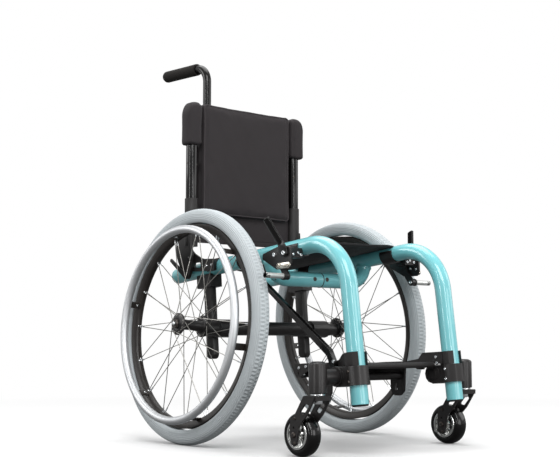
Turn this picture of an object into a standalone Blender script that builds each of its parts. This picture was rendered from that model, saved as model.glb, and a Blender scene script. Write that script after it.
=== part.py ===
# Pediatric wheelchair: a bent-tube frame on cambered spoked wheels, with a fold-down back.
# Everything is drawn from the rear axle line on the floor: +X is the rider's left, -Y is
# forward and +Z is up. The chair's empty then puts the middle of the footprint on the origin.
# Lengths are metres and angles are degrees.

import math

import bmesh
import bpy
from mathutils import Matrix, Vector

# Place of the rear axle behind the middle of the footprint
AXLE_BEHIND_MIDDLE = 0.0700

# Clearances
FIT = 0.0003
RUNNING_FIT = 0.0006
SIDES = ((-1, "right"), (1, "left"))

# Side frames: one bent tube each, from the back of the seat down to the foot
TUBE_RADIUS = 0.0190
TUBE_WALL = 0.0025
FRAME_HALF_WIDTH = 0.1500
RAIL_SLOPE = 5.12
LEG_SLOPE = 7.1
RAIL_END_Y = 0.2050
CORNER_Y = -0.4236
CORNER_Z = 0.4651
CORNER_RADIUS = 0.110
LEG_END_Z = 0.1090
PLUG_DEPTH = 0.018
CAP_THICKNESS = 0.003
TUBE_RESOLUTION = 4
RING_WALL = 0.0038

# Drooping cross tube: one half on each side frame, the left with a spigot into the right
CROSS_RADIUS = 0.0180
CROSS_Y = -0.1750
CROSS_Z = 0.3880
CROSS_BEND = 0.045
SPIGOT_RADIUS = 0.0150
SPIGOT_LENGTH = 0.036

# Rear wheels
TYRE_RADIUS = 0.2800
TYRE_HALF_WIDTH = 0.0190
RIM_RADIUS = 0.2426
RIM_HALF_WIDTH = 0.0125
RIM_INNER_RADIUS = 0.2245
RIM_WELL_DEPTH = 0.0066
WHEEL_CENTRE_X = FRAME_HALF_WIDTH + 0.1025
CAMBER = 4.1
WHEEL_SIDES = 32
HANDRIM_OUTER_RADIUS = 0.2348
HANDRIM_TUBE_RADIUS = 0.0095
HANDRIM_OFFSET = 0.0438
HANDRIM_TABS = 6
TAB_WIDTH = 0.016
TAB_THICKNESS = 0.004
TAB_PHASE = 0.28
SPOKES_PER_FLANGE = 16
SPOKE_RADIUS = 0.0011
SPOKE_RIM_OFFSET = 0.003
SPOKE_CROSSING = 67.5
SPOKE_END_GAP = 0.0006

# Hub and its quick-release axle, along the wheel's own axis from its middle plane
HUB_BODY_RADIUS = 0.0130
HUB_END_RADIUS = 0.0115
FLANGE_RADIUS = 0.0245
FLANGE_THICKNESS = 0.004
SPOKE_CIRCLE_RADIUS = 0.0208
OUTER_FLANGE = 0.0370
INNER_FLANGE = -0.0330
HUB_OUTER_END = 0.0415
HUB_INNER_END = -0.0400
AXLE_RADIUS = 0.00635
AXLE_INNER_END = -0.0650
AXLE_HEAD_RADIUS = 0.0105
AXLE_HEAD_THICKNESS = 0.0065
AXLE_BUTTON_RADIUS = 0.0045
AXLE_BUTTON_STANDS_OUT = 0.004
AXLE_BUTTON_TRAVEL = 0.003

# Camber tube across the chair, and the plugs that take the axles at the camber angle
CAMBER_TUBE_RADIUS = 0.0170
CAMBER_TUBE_WALL = 0.0030
CAMBER_TUBE_HALF_LENGTH = FRAME_HALF_WIDTH + 0.0300
CAMBER_TUBE_Z = 0.2725
PLUG_COLLAR_RADIUS = 0.0150
PLUG_COLLAR_END = CAMBER_TUBE_HALF_LENGTH + 0.0305
CAMBER_PLUG_INSERT = 0.035
CAMBER_CLAMP_HALF_WIDTH = 0.020
CLAMP_WALL = 0.0050

# Axle posts, square to the rails
POST_WIDTH = 0.0190
POST_DEPTH = 0.0285
POST_FOOT_Y = 0.0495
POST_FOOT_Z = 0.1980
POST_TOP_BELOW_RAIL = 0.0235
POST_HOLES = 10
POST_HOLE_RADIUS = 0.0022
POST_HOLE_PITCH = 0.0150
POST_FIRST_HOLE = 0.022
POST_CLAMP_LENGTH = 0.058
POST_CLAMP_WIDTH = 0.034
POST_CLAMP_DEPTH = 0.032

# Caster clamps, housings, forks and wheels
CASTER_X = FRAME_HALF_WIDTH + 0.0805
CASTER_STEM_Y = -0.4250
CASTER_TRAIL = 0.0490
CASTER_RADIUS = 0.0463
CASTER_HALF_WIDTH = 0.0172
CASTER_HUB_RADIUS = 0.0320
CASTER_SIDES = 18
HOUSING_RADIUS = 0.0195
HOUSING_BOTTOM = 0.1335
HOUSING_TOP = 0.1975
STUB_RADIUS = 0.0165
STUB_Y = -0.4200
STUB_Z = 0.1670
STUB_INNER_END = FRAME_HALF_WIDTH - 0.0240
STEM_RADIUS = 0.0080
STEM_TOP = 0.1800
CASTER_CLAMP_BOTTOM = 0.1490
CASTER_CLAMP_HEIGHT = 0.0400
CASTER_AXLE_RADIUS = 0.0040
FORK_PLATE = 0.0045
FORK_INSIDE_HALF_WIDTH = 0.0200
FORK_CROWN_TOP = 0.1290
FORK_CROWN_THICKNESS = 0.010
FORK_EYE_RADIUS = 0.0135
FORK_HOLE_RADIUS = 0.0025
SPACER_RADIUS = 0.0125

# Footrest clamps with their rearward arms, and the flip-up footplate
FOOTREST_CLAMP_HEIGHT = 0.0290
ARM_INNER_X = FRAME_HALF_WIDTH - 0.0275
ARM_THICKNESS = 0.0080
FOOT_PIVOT_Y = -0.2450
FOOT_PIVOT_Z = 0.1700
FOOT_PIN_RADIUS = 0.0040
FOOT_TUBE_RADIUS = 0.0090
PLATE_FRONT_Y = -0.4300
PLATE_REAR_Y = -0.2380
PLATE_Z = 0.1880
PLATE_THICKNESS = 0.0050
PLATE_HALF_WIDTH = ARM_INNER_X - 0.0035
PLATE_ROLL_RADIUS = 0.0065
PLATE_TUBE_Y = -0.3300
PLATE_TUBE_Z = 0.1610
CHEEK_THICKNESS = 0.0060
STOP_PIN_RADIUS = 0.0030
STOP_PIN_LENGTH = 0.010

# Diagonal brace on the rider's right, from the arm up to the rail
BRACE_X = FRAME_HALF_WIDTH - 0.0130
BRACE_THICKNESS = 0.0120
BRACE_FOOT_Y = -0.3770
BRACE_FOOT_Z = 0.1850
BRACE_KNEE_Y = -0.3600
BRACE_KNEE_Z = 0.2170
BRACE_TOP_Y = -0.0800
BRACE_WIDTH_LOW = 0.0165
BRACE_WIDTH_HIGH = 0.0100
BRACE_RING_LENGTH = 0.022

# Seat sling
SEAT_FRONT_Y = -0.2900
SEAT_REAR_Y = 0.0700
SEAT_SAG = 0.022
SEAT_THICKNESS = 0.0070
SEAT_OVER_RAIL = 0.0080

# Back hinge: a bracket on each rail, a folding plate outside it, and a latch lever on the plate
BRACKET_FACE_GAP = 0.0015
BRACKET_THICKNESS = 0.0060
BACK_PIVOT_Y = 0.1080
BACK_PIVOT_Z = 0.4460
BACK_PIN_RADIUS = 0.0040
BACK_PIN_HEAD_RADIUS = 0.0070
TANG_THICKNESS = 0.0080
BRACKET_RING_Y = 0.0320
BRACKET_RING_LENGTH = 0.038
LATCH_PIVOT_Y = 0.1190
LATCH_PIVOT_Z = 0.4050
LATCH_TIP_Y = 0.1800
LATCH_TIP_Z = 0.4465
LATCH_THICKNESS = 0.0040
LATCH_PIN_RADIUS = 0.0030

# Back canes, cross bar, push handle and upholstery
CANE_X = FRAME_HALF_WIDTH + 0.0200
CANE_Y = 0.1200
CANE_RADIUS = 0.0145
CANE_BOTTOM = 0.4900
CANE_TOP = 0.8450
SOCKET_RADIUS = 0.0170
SOCKET_BOTTOM = 0.4800
SOCKET_TOP = 0.6020
CROSS_BAR_Z = 0.6900
CROSS_BAR_Y = 0.1545
CROSS_BAR_RADIUS = 0.0080
HANDLE_X = 0.0720 - CANE_X
HANDLE_TUBE_RADIUS = 0.0108
HANDLE_BOTTOM = 0.7000
HANDLE_TOP = 0.9620
HANDLE_BEND = 0.042
HANDLE_SOCKET_TOP = 0.745
HANDLE_RISE = 2.6
GRIP_START_Y = 0.1975
GRIP_END_Y = 0.3480
GRIP_RADIUS = 0.0128
PAD_HALF_WIDTH = CANE_X - 0.0190
PAD_BOTTOM = 0.5560
PAD_TOP = 0.8570
PAD_THICKNESS = 0.0400
FLAP_BOTTOM = 0.4900
FLAP_THICKNESS = 0.0120
FLAP_HALF_WIDTH = CANE_X - 0.0260
SLING_HALF_WIDTH = CANE_X - 0.0155
SLING_BACK_Y = 0.1410
WING_RADIUS = 0.0250
WING_BOTTOM = 0.7370
WING_TOP = 0.8540

# Wheel locks: bracket, lever and swinging shoe
LOCK_RING_Y = -0.2720
LOCK_RING_LENGTH = 0.040
LOCK_PLATE_X = FRAME_HALF_WIDTH + 0.0530
LOCK_PLATE_THICKNESS = 0.0050
LOCK_BRIDGE_Y = -0.2890
LOCK_BRIDGE_LENGTH = 0.030
LEVER_PIVOT_Y = -0.2944
LEVER_PIVOT_Z = 0.4360
LEVER_THICKNESS = 0.0050
LEVER_TIP_X = LOCK_PLATE_X + 0.0315
LEVER_TIP_Y = -0.2575
LEVER_TIP_Z = 0.5155
LEVER_GRIP_RADIUS = 0.0068
SHOE_PIVOT_Y = -0.2560
SHOE_PIVOT_Z = 0.4340
SHOE_ROD_Y = -0.2905
SHOE_ROD_Z = 0.3850
SHOE_ROD_RADIUS = 0.0060
SHOE_ROD_END_X = LOCK_PLATE_X + 0.0605
SHOE_THICKNESS = 0.0050
SHOE_BOSS_RADIUS = 0.0085
LOCK_PIN_RADIUS = 0.0035

# Colour, roughness and metallic value of each finish
FINISHES = {
    "aqua_enamel": ((0.33, 0.78, 0.80), 0.18, 0.0),
    "black_anodised": ((0.022, 0.022, 0.024), 0.38, 0.6),
    "black_enamel": ((0.010, 0.010, 0.011), 0.16, 0.0),
    "black_plastic": ((0.020, 0.020, 0.021), 0.45, 0.0),
    "grey_tyre": ((0.55, 0.58, 0.60), 0.62, 0.0),
    "black_tyre": ((0.012, 0.012, 0.013), 0.25, 0.0),
    "satin_aluminium": ((0.72, 0.73, 0.74), 0.32, 1.0),
    "chrome": ((0.80, 0.81, 0.82), 0.10, 1.0),
    "spoke_steel": ((0.62, 0.62, 0.60), 0.28, 1.0),
    "black_upholstery": ((0.026, 0.025, 0.026), 0.88, 0.0),
    "black_foam": ((0.016, 0.016, 0.017), 0.75, 0.0),
}

# Turns a drawing in the (Y, Z) plane upright, with its thickness along X
SIDE_VIEW = Matrix(((0, 0, 1), (1, 0, 0), (0, 1, 0))).to_4x4()


def clear_scene():
    for old in list(bpy.data.objects):
        bpy.data.objects.remove(old, do_unlink=True)


def make_collection(name):
    collection = bpy.data.collections.new(name)
    bpy.context.scene.collection.children.link(collection)
    return collection


def make_material(name):
    colour, roughness, metallic = FINISHES[name]
    material = bpy.data.materials.new(name)
    material.use_nodes = True
    shader = material.node_tree.nodes["Principled BSDF"]
    shader.inputs["Base Color"].default_value = (*colour, 1.0)
    shader.inputs["Roughness"].default_value = roughness
    shader.inputs["Metallic"].default_value = metallic
    material.diffuse_color = (*colour, 1.0)
    return material


clear_scene()
PARTS = make_collection("pediatric_wheelchair")
TOOLS = make_collection("construction")
MATERIALS = {name: make_material(name) for name in FINISHES}


# Measures that follow from the driving sizes

def rail_z(y):
    """Height of the seat rail's centre line at y."""
    return CORNER_Z - (y - CORNER_Y) * math.tan(math.radians(RAIL_SLOPE))


def leg_y(z):
    """Y of the leg's centre line at height z."""
    return CORNER_Y + (z - CORNER_Z) * math.tan(math.radians(LEG_SLOPE))


def post_y(z):
    """Y of the axle post's centre line at height z."""
    return POST_FOOT_Y + (z - POST_FOOT_Z) * math.tan(math.radians(RAIL_SLOPE))


def wheel_height():
    """Height of a rear wheel's centre, with its tread on the floor."""
    return TYRE_RADIUS * math.cos(math.radians(CAMBER))


# Places and moves objects

def empty(name, place=(0, 0, 0), rotation=(0, 0, 0), parent=None):
    pivot = bpy.data.objects.new(name, None)
    pivot.location = place
    pivot.rotation_euler = rotation
    pivot.parent = parent
    pivot.empty_display_size = 0.02
    PARTS.objects.link(pivot)
    return pivot


def object_from(bm, name="shape"):
    mesh = bpy.data.meshes.new(name)
    bm.to_mesh(mesh)
    bm.free()
    shape = bpy.data.objects.new(name, mesh)
    TOOLS.objects.link(shape)
    return shape


def along(start, end):
    """Matrix that stands the Z axis on the line from start to end, at its middle."""
    start, end = Vector(start), Vector(end)
    turn = (end - start).to_track_quat("Z", "Y").to_matrix().to_4x4()
    return Matrix.Translation((start + end) / 2) @ turn


def box(size, centre, tilt=0.0):
    """Box of the given size, leaned about X by tilt degrees."""
    bm = bmesh.new()
    bmesh.ops.create_cube(bm, size=1.0)
    place = Matrix.Translation(centre) @ Matrix.Rotation(math.radians(tilt), 4, "X")
    bmesh.ops.transform(bm, matrix=place @ Matrix.Diagonal((*size, 1)), verts=bm.verts)
    return object_from(bm)


def add_cylinder(bm, start, end, radius, end_radius=None, sides=16):
    length = (Vector(end) - Vector(start)).length
    end_radius = radius if end_radius is None else end_radius
    bmesh.ops.create_cone(bm, cap_ends=True, segments=sides, radius1=radius,
                          radius2=end_radius, depth=length, matrix=along(start, end))


def cylinder(start, end, radius, end_radius=None, sides=12):
    bm = bmesh.new()
    add_cylinder(bm, start, end, radius, end_radius, sides)
    return object_from(bm)


def turned(profile, sides, closed=False):
    """Solid turned about Z from (radius, height) points that run down the outer side."""
    bm = bmesh.new()
    points = [bm.verts.new((radius, 0, height)) for radius, height in profile]
    for first, second in zip(points, points[1:]):
        bm.edges.new((first, second))
    if closed:
        bm.edges.new((points[-1], points[0]))
    shape = object_from(bm)
    screw = shape.modifiers.new("Turn", "SCREW")
    screw.axis = "Z"
    screw.steps = sides
    screw.render_steps = sides
    screw.use_merge_vertices = True
    screw.merge_threshold = 0.00001
    return shape


def rounded(points, radius, steps=4, closed=True):
    """Outline or path with its corners turned into arcs; radius is one value or one per corner."""
    points = [Vector(point) for point in points]
    radii = list(radius) if hasattr(radius, "__len__") else [radius] * len(points)
    result = []
    for index, corner in enumerate(points):
        is_end = not closed and index in (0, len(points) - 1)
        if is_end or radii[index] <= 0:
            result.append(corner)
            continue
        back = (points[index - 1] - corner).normalized()
        ahead = (points[(index + 1) % len(points)] - corner).normalized()
        half = back.angle(ahead) / 2
        centre = corner + (back + ahead).normalized() * (radii[index] / math.sin(half))
        first = corner + back * (radii[index] / math.tan(half)) - centre
        last = corner + ahead * (radii[index] / math.tan(half)) - centre
        sweep = first.angle(last)
        for step in range(steps + 1):
            share = step / steps
            blend = first * math.sin((1 - share) * sweep) + last * math.sin(share * sweep)
            result.append(centre + blend / math.sin(sweep))
    return result


def bar_outline(base, tip, base_half, tip_half):
    """Side view of a bar with round ends about two points."""
    base, tip = Vector(base), Vector(tip)
    lean = (tip - base).normalized()
    aside = Vector((-lean.y, lean.x))
    corners = [base - lean * base_half - aside * base_half, tip + lean * tip_half - aside * tip_half,
               tip + lean * tip_half + aside * tip_half, base - lean * base_half + aside * base_half]
    return rounded(corners, [base_half * 0.9, tip_half * 0.9, tip_half * 0.9, base_half * 0.9], 3)


def circle(centre, radius, sides=12):
    turns = [2 * math.pi * step / sides for step in range(sides)]
    return [(centre[0] + radius * math.cos(turn), centre[1] + radius * math.sin(turn)) for turn in turns]


def mesh_from_curve(curve_object):
    """Turns a curve object into a welded mesh object in the same place."""
    bpy.context.view_layer.update()
    depsgraph = bpy.context.evaluated_depsgraph_get()
    mesh = bpy.data.meshes.new_from_object(curve_object.evaluated_get(depsgraph))
    bm = bmesh.new()
    bm.from_mesh(mesh)
    bmesh.ops.remove_doubles(bm, verts=bm.verts, dist=0.000001)
    bmesh.ops.recalc_face_normals(bm, faces=bm.faces)
    bm.to_mesh(mesh)
    bm.free()
    shape = bpy.data.objects.new("shape", mesh)
    TOOLS.objects.link(shape)
    shape.matrix_world = curve_object.matrix_world
    bpy.data.objects.remove(curve_object, do_unlink=True)
    return shape


def tube(path, radius, resolution=4):
    """Round bar along a path of points."""
    curve = bpy.data.curves.new("path", "CURVE")
    curve.dimensions = "3D"
    curve.bevel_depth = radius
    curve.bevel_resolution = resolution
    curve.use_fill_caps = True
    spline = curve.splines.new("POLY")
    spline.points.add(len(path) - 1)
    for point, place in zip(spline.points, path):
        point.co = (*place, 1)
    shape = bpy.data.objects.new("path", curve)
    TOOLS.objects.link(shape)
    return mesh_from_curve(shape)


def plate(outline, thickness, middle_x, holes=()):
    """Flat plate drawn in side view as (y, z) points, with its thickness along X."""
    curve = bpy.data.curves.new("outline", "CURVE")
    curve.dimensions = "2D"
    curve.fill_mode = "BOTH"
    curve.extrude = thickness / 2
    for loop in (outline, *holes):
        spline = curve.splines.new("POLY")
        spline.points.add(len(loop) - 1)
        for point, place in zip(spline.points, loop):
            point.co = (place[0], place[1], 0, 1)
        spline.use_cyclic_u = True
    shape = bpy.data.objects.new("outline", curve)
    TOOLS.objects.link(shape)
    shape.matrix_world = Matrix.Translation((middle_x, 0, 0)) @ SIDE_VIEW
    return mesh_from_curve(shape)


def boolean(shape, others, operation):
    for other in others:
        modifier = shape.modifiers.new(operation.title(), "BOOLEAN")
        modifier.operation = operation
        modifier.solver = "EXACT"
        modifier.object = other
        other.hide_render = True
        other.display_type = "WIRE"
    return shape


def join(shape, *others):
    return boolean(shape, others, "UNION")


def cut(shape, *others):
    return boolean(shape, others, "DIFFERENCE")


def soften(shape, width, segments=1):
    """Rounds every sharp edge."""
    bevel = shape.modifiers.new("Soft edges", "BEVEL")
    bevel.width = width
    bevel.segments = segments
    bevel.limit_method = "ANGLE"
    bevel.angle_limit = math.radians(40)
    return shape


def hang(shape, parent, offset):
    """Hangs a shape, and every tool that its modifiers use, on a parent."""
    if shape.parent is None:
        shape.parent = parent
        shape.matrix_parent_inverse = offset
    for modifier in shape.modifiers:
        if modifier.type == "BOOLEAN":
            hang(modifier.object, parent, offset)


def piece(name, shape, finish, parent, on_axis=False):
    """Makes a shape one of the chair's pieces; on_axis tells that it is drawn from the parent's axis."""
    shape.name = name
    shape.data.name = name
    TOOLS.objects.unlink(shape)
    PARTS.objects.link(shape)
    offset = Matrix()
    level = None if on_axis else parent
    while level is not None and level.parent is not None:
        offset = offset @ level.matrix_basis.inverted()
        level = level.parent
    hang(shape, parent, offset)
    shape.data.materials.clear()
    shape.data.materials.append(MATERIALS[finish])
    shape.data.shade_smooth()
    shape.data.set_sharp_from_angle(angle=math.radians(35))
    return shape


# Frame

def side_frame_path(side):
    x = side * FRAME_HALF_WIDTH
    corners = [(x, RAIL_END_Y, rail_z(RAIL_END_Y)), (x, CORNER_Y, CORNER_Z),
               (x, leg_y(LEG_END_Z), LEG_END_Z)]
    return rounded(corners, CORNER_RADIUS, steps=9, closed=False)


def end_bore(path, radius, depth):
    """Straight bore that runs into the start of a path."""
    inward = (path[1] - path[0]).normalized()
    return cylinder(path[0] - inward * depth, path[0] + inward * depth, radius)


def cross_tube_path(side, seam):
    x = side * FRAME_HALF_WIDTH
    corners = [(side * seam, CROSS_Y, CROSS_Z), (x, CROSS_Y, CROSS_Z), (x, CROSS_Y, rail_z(CROSS_Y))]
    return rounded(corners, CROSS_BEND, steps=5, closed=False)


def make_side_frame(side, word, chair):
    path = side_frame_path(side)
    frame = tube(path, TUBE_RADIUS, TUBE_RESOLUTION)
    half_cross = tube(cross_tube_path(side, FIT / 2), CROSS_RADIUS)
    bore_radius = TUBE_RADIUS - TUBE_WALL
    join(frame, half_cross)
    if side > 0:
        join(frame, cylinder((0.01, CROSS_Y, CROSS_Z), (-SPIGOT_LENGTH, CROSS_Y, CROSS_Z), SPIGOT_RADIUS))
    else:
        cut(frame, cylinder((0.01, CROSS_Y, CROSS_Z), (-SPIGOT_LENGTH - FIT, CROSS_Y, CROSS_Z),
                            SPIGOT_RADIUS + RUNNING_FIT))
    cut(frame, end_bore(path, bore_radius, PLUG_DEPTH + 0.002),
        end_bore(path[::-1], bore_radius, PLUG_DEPTH + 0.002))
    piece(word + "_side_frame", frame, "aqua_enamel", chair)


def frame_tool(side):
    """Cutter that leaves every clamp a clearance round the frame tube."""
    return tube(side_frame_path(side), TUBE_RADIUS + FIT, TUBE_RESOLUTION)


def rail_ring(side, middle_y, length, wall):
    """Plain ring round the rail, still without its bore."""
    x, half = side * FRAME_HALF_WIDTH, length / 2
    return cylinder((x, middle_y - half, rail_z(middle_y - half)),
                    (x, middle_y + half, rail_z(middle_y + half)),
                    TUBE_RADIUS + wall)


def make_end_caps(side, word, chair):
    """Plugs in the two open ends of a side frame, each with a thin flange."""
    path = side_frame_path(side)
    for place, end, inner in (("rail", path[0], path[1]), ("leg", path[-1], path[-2])):
        inward = (inner - end).normalized()
        flange_face = end - inward * FIT
        cap = cylinder(flange_face - inward * CAP_THICKNESS, flange_face, TUBE_RADIUS - 0.0015, TUBE_RADIUS)
        join(cap, cylinder(end - inward * 0.002, end + inward * PLUG_DEPTH,
                           TUBE_RADIUS - TUBE_WALL - RUNNING_FIT))
        piece(word + "_" + place + "_cap", cap, "black_plastic", chair)


# Axle posts and camber tube

def make_axle_posts(side, word, chair, rail_clearance, post_clearance):
    foot_z = POST_FOOT_Z
    top_z = rail_z(post_y(CROSS_Z)) - POST_TOP_BELOW_RAIL
    middle_z = (foot_z + top_z) / 2
    length = (top_z - foot_z) / math.cos(math.radians(RAIL_SLOPE))
    x = side * FRAME_HALF_WIDTH
    post = box((POST_WIDTH, POST_DEPTH, length), (x, post_y(middle_z), middle_z), -RAIL_SLOPE)
    soften(post, 0.0030)
    for index in range(POST_HOLES):
        z = foot_z + POST_FIRST_HOLE + index * POST_HOLE_PITCH
        cut(post, cylinder((x - POST_WIDTH, post_y(z), z), (x + POST_WIDTH, post_y(z), z),
                           POST_HOLE_RADIUS, sides=6))
    piece(word + "_axle_post", post, "black_anodised", chair)

    clamp_y = post_y(rail_z(POST_FOOT_Y) - TUBE_RADIUS)
    clamp_z = rail_z(clamp_y) - TUBE_RADIUS + 0.004 - POST_CLAMP_DEPTH / 2
    clamp = box((POST_CLAMP_WIDTH, POST_CLAMP_LENGTH, POST_CLAMP_DEPTH), (x, clamp_y, clamp_z), -RAIL_SLOPE)
    cut(clamp, rail_clearance, post_clearance)
    piece(word + "_post_clamp", clamp, "black_anodised", chair)


def post_tool(side):
    """Cutter that leaves the clamps a clearance round the axle post."""
    middle_z = (POST_FOOT_Z + rail_z(0)) / 2
    size = (POST_WIDTH + 2 * FIT, POST_DEPTH + 2 * FIT, 0.30)
    return box(size, (side * FRAME_HALF_WIDTH, post_y(middle_z), middle_z), -RAIL_SLOPE)


def make_camber_tube(chair):
    outer, inner = CAMBER_TUBE_RADIUS, CAMBER_TUBE_RADIUS - CAMBER_TUBE_WALL
    half = CAMBER_TUBE_HALF_LENGTH
    shape = turned([(outer, half), (outer, -half), (inner, -half), (inner, half)], 16, closed=True)
    shape.location = (0, 0, CAMBER_TUBE_Z)
    shape.rotation_euler = (0, math.radians(90), 0)
    piece("camber_tube", shape, "black_anodised", chair)


def make_camber_clamp(side, word, chair, post_clearance):
    x = side * FRAME_HALF_WIDTH
    half = CAMBER_CLAMP_HALF_WIDTH
    outer = CAMBER_TUBE_RADIUS + CLAMP_WALL
    ring = cylinder((x - half - 0.008, 0, CAMBER_TUBE_Z), (x + half + 0.008, 0, CAMBER_TUBE_Z), outer)
    back = post_y(CAMBER_TUBE_Z) + POST_DEPTH / 2 + 0.006
    block = box((2 * half, back, 2 * outer - 0.006), (x, back / 2, CAMBER_TUBE_Z))
    bore = cylinder((x - 0.05, 0, CAMBER_TUBE_Z), (x + 0.05, 0, CAMBER_TUBE_Z), CAMBER_TUBE_RADIUS + 0.0007)
    split = box((0.08, 0.012, 0.002), (x, -outer, CAMBER_TUBE_Z))
    join(ring, block)
    cut(ring, bore, post_clearance, split)
    piece(word + "_camber_clamp", ring, "black_anodised", chair)


def wheel_frame(side, word, chair):
    """Empty at a rear wheel's centre, with its Z axis outward along the axle."""
    lean = math.radians(90 - CAMBER)
    return empty(word + "_wheel_axis", (side * WHEEL_CENTRE_X, 0, wheel_height()), (0, side * lean, 0),
                 chair)


def axle_point(side, distance):
    """Point on the axle line, measured outward from the wheel's middle plane."""
    lean = math.radians(CAMBER)
    return Vector((side * (WHEEL_CENTRE_X + distance * math.cos(lean)), 0,
                   wheel_height() + distance * math.sin(lean)))


def make_camber_plug(side, word, chair):
    """Collar at the tube's end, with its insert inside the tube and a leaned bore for the axle."""
    end = CAMBER_TUBE_HALF_LENGTH
    plug = cylinder((side * (end + FIT), 0, CAMBER_TUBE_Z), (side * PLUG_COLLAR_END, 0, CAMBER_TUBE_Z),
                    CAMBER_TUBE_RADIUS, PLUG_COLLAR_RADIUS)
    join(plug, cylinder((side * (end - CAMBER_PLUG_INSERT), 0, CAMBER_TUBE_Z),
                        (side * (end + 0.01), 0, CAMBER_TUBE_Z),
                        CAMBER_TUBE_RADIUS - CAMBER_TUBE_WALL - RUNNING_FIT))
    cut(plug, cylinder(axle_point(side, AXLE_INNER_END - 0.002), axle_point(side, 0),
                       AXLE_RADIUS + RUNNING_FIT))
    piece(word + "_camber_plug", plug, "black_anodised", chair)


def make_axle(side, word, chair):
    """Quick-release axle with its head and the bore for its button."""
    head = HUB_OUTER_END + FIT
    outer = head + AXLE_HEAD_THICKNESS
    axle = cylinder(axle_point(side, AXLE_INNER_END), axle_point(side, head + 0.001), AXLE_RADIUS)
    join(axle, cylinder(axle_point(side, head), axle_point(side, outer), AXLE_HEAD_RADIUS,
                        AXLE_HEAD_RADIUS - 0.0015))
    cut(axle, cylinder(axle_point(side, HUB_OUTER_END), axle_point(side, outer + 0.006),
                       AXLE_BUTTON_RADIUS + FIT, sides=12))
    piece(word + "_quick_release_axle", axle, "black_anodised", chair)


def make_axle_button(side, word, chair):
    inner = HUB_OUTER_END + AXLE_BUTTON_TRAVEL + FIT
    outer = HUB_OUTER_END + FIT + AXLE_HEAD_THICKNESS + AXLE_BUTTON_STANDS_OUT
    button = cylinder(axle_point(side, inner), axle_point(side, outer),
                      AXLE_BUTTON_RADIUS, AXLE_BUTTON_RADIUS - 0.0012, sides=12)
    piece(word + "_axle_button", button, "chrome", chair)


# Rear wheels, drawn with the axle along Z

def make_tyre(word, axis):
    seat = RIM_RADIUS + FIT
    half = [(TYRE_RADIUS, 0), (TYRE_RADIUS - 0.0035, 0.0105),
            (TYRE_RADIUS - 0.0150, TYRE_HALF_WIDTH - 0.0010),
            (TYRE_RADIUS - 0.0260, TYRE_HALF_WIDTH - 0.0008), (seat, RIM_HALF_WIDTH - 0.0005)]
    upper = [(radius, height) for radius, height in reversed(half)]
    lower = [(radius, -height) for radius, height in half[1:]]
    piece(word + "_tyre", turned(upper + lower, WHEEL_SIDES, closed=True), "grey_tyre", axis,
          on_axis=True)


def make_rim(word, axis):
    well = RIM_RADIUS - RIM_WELL_DEPTH
    upper = [(RIM_INNER_RADIUS, 0.0070), (RIM_RADIUS, RIM_HALF_WIDTH),
             (RIM_RADIUS, RIM_HALF_WIDTH - 0.0025), (well, RIM_HALF_WIDTH - 0.0045)]
    lower = [(radius, -height) for radius, height in reversed(upper)]
    rim = turned(upper + lower, WHEEL_SIDES, closed=True)
    reach = HANDRIM_OFFSET - HANDRIM_TUBE_RADIUS - FIT
    radius = HANDRIM_OUTER_RADIUS - HANDRIM_TUBE_RADIUS + 0.0020
    for index in range(HANDRIM_TABS):
        turn = Matrix.Rotation(2 * math.pi * (index + TAB_PHASE) / HANDRIM_TABS, 4, "Z")
        tab = box((TAB_THICKNESS, TAB_WIDTH, reach - 0.004), (radius, 0, (reach + 0.004) / 2))
        tab.data.transform(turn)
        join(rim, tab)
    piece(word + "_rim", rim, "black_anodised", axis,
          on_axis=True)


def make_handrim(word, axis):
    middle = HANDRIM_OUTER_RADIUS - HANDRIM_TUBE_RADIUS
    section = [(middle + HANDRIM_TUBE_RADIUS * math.cos(turn),
                HANDRIM_OFFSET - HANDRIM_TUBE_RADIUS * math.sin(turn))
               for turn in (2 * math.pi * step / 8 for step in range(8))]
    piece(word + "_handrim", turned(section, WHEEL_SIDES, closed=True), "satin_aluminium", axis,
          on_axis=True)


def hub_body():
    half_flange = FLANGE_THICKNESS / 2
    bore = AXLE_RADIUS + RUNNING_FIT
    profile = [(HUB_END_RADIUS, HUB_OUTER_END), (HUB_BODY_RADIUS + 0.003, OUTER_FLANGE + half_flange),
               (FLANGE_RADIUS, OUTER_FLANGE + half_flange), (FLANGE_RADIUS, OUTER_FLANGE - half_flange),
               (HUB_BODY_RADIUS, OUTER_FLANGE - half_flange - 0.006),
               (HUB_BODY_RADIUS, INNER_FLANGE + half_flange + 0.006),
               (FLANGE_RADIUS, INNER_FLANGE + half_flange), (FLANGE_RADIUS, INNER_FLANGE - half_flange),
               (HUB_BODY_RADIUS, INNER_FLANGE - half_flange - 0.003), (HUB_END_RADIUS, HUB_INNER_END)]
    return turned([*profile, (bore, HUB_INNER_END), (bore, HUB_OUTER_END)], 14, closed=True)


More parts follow.
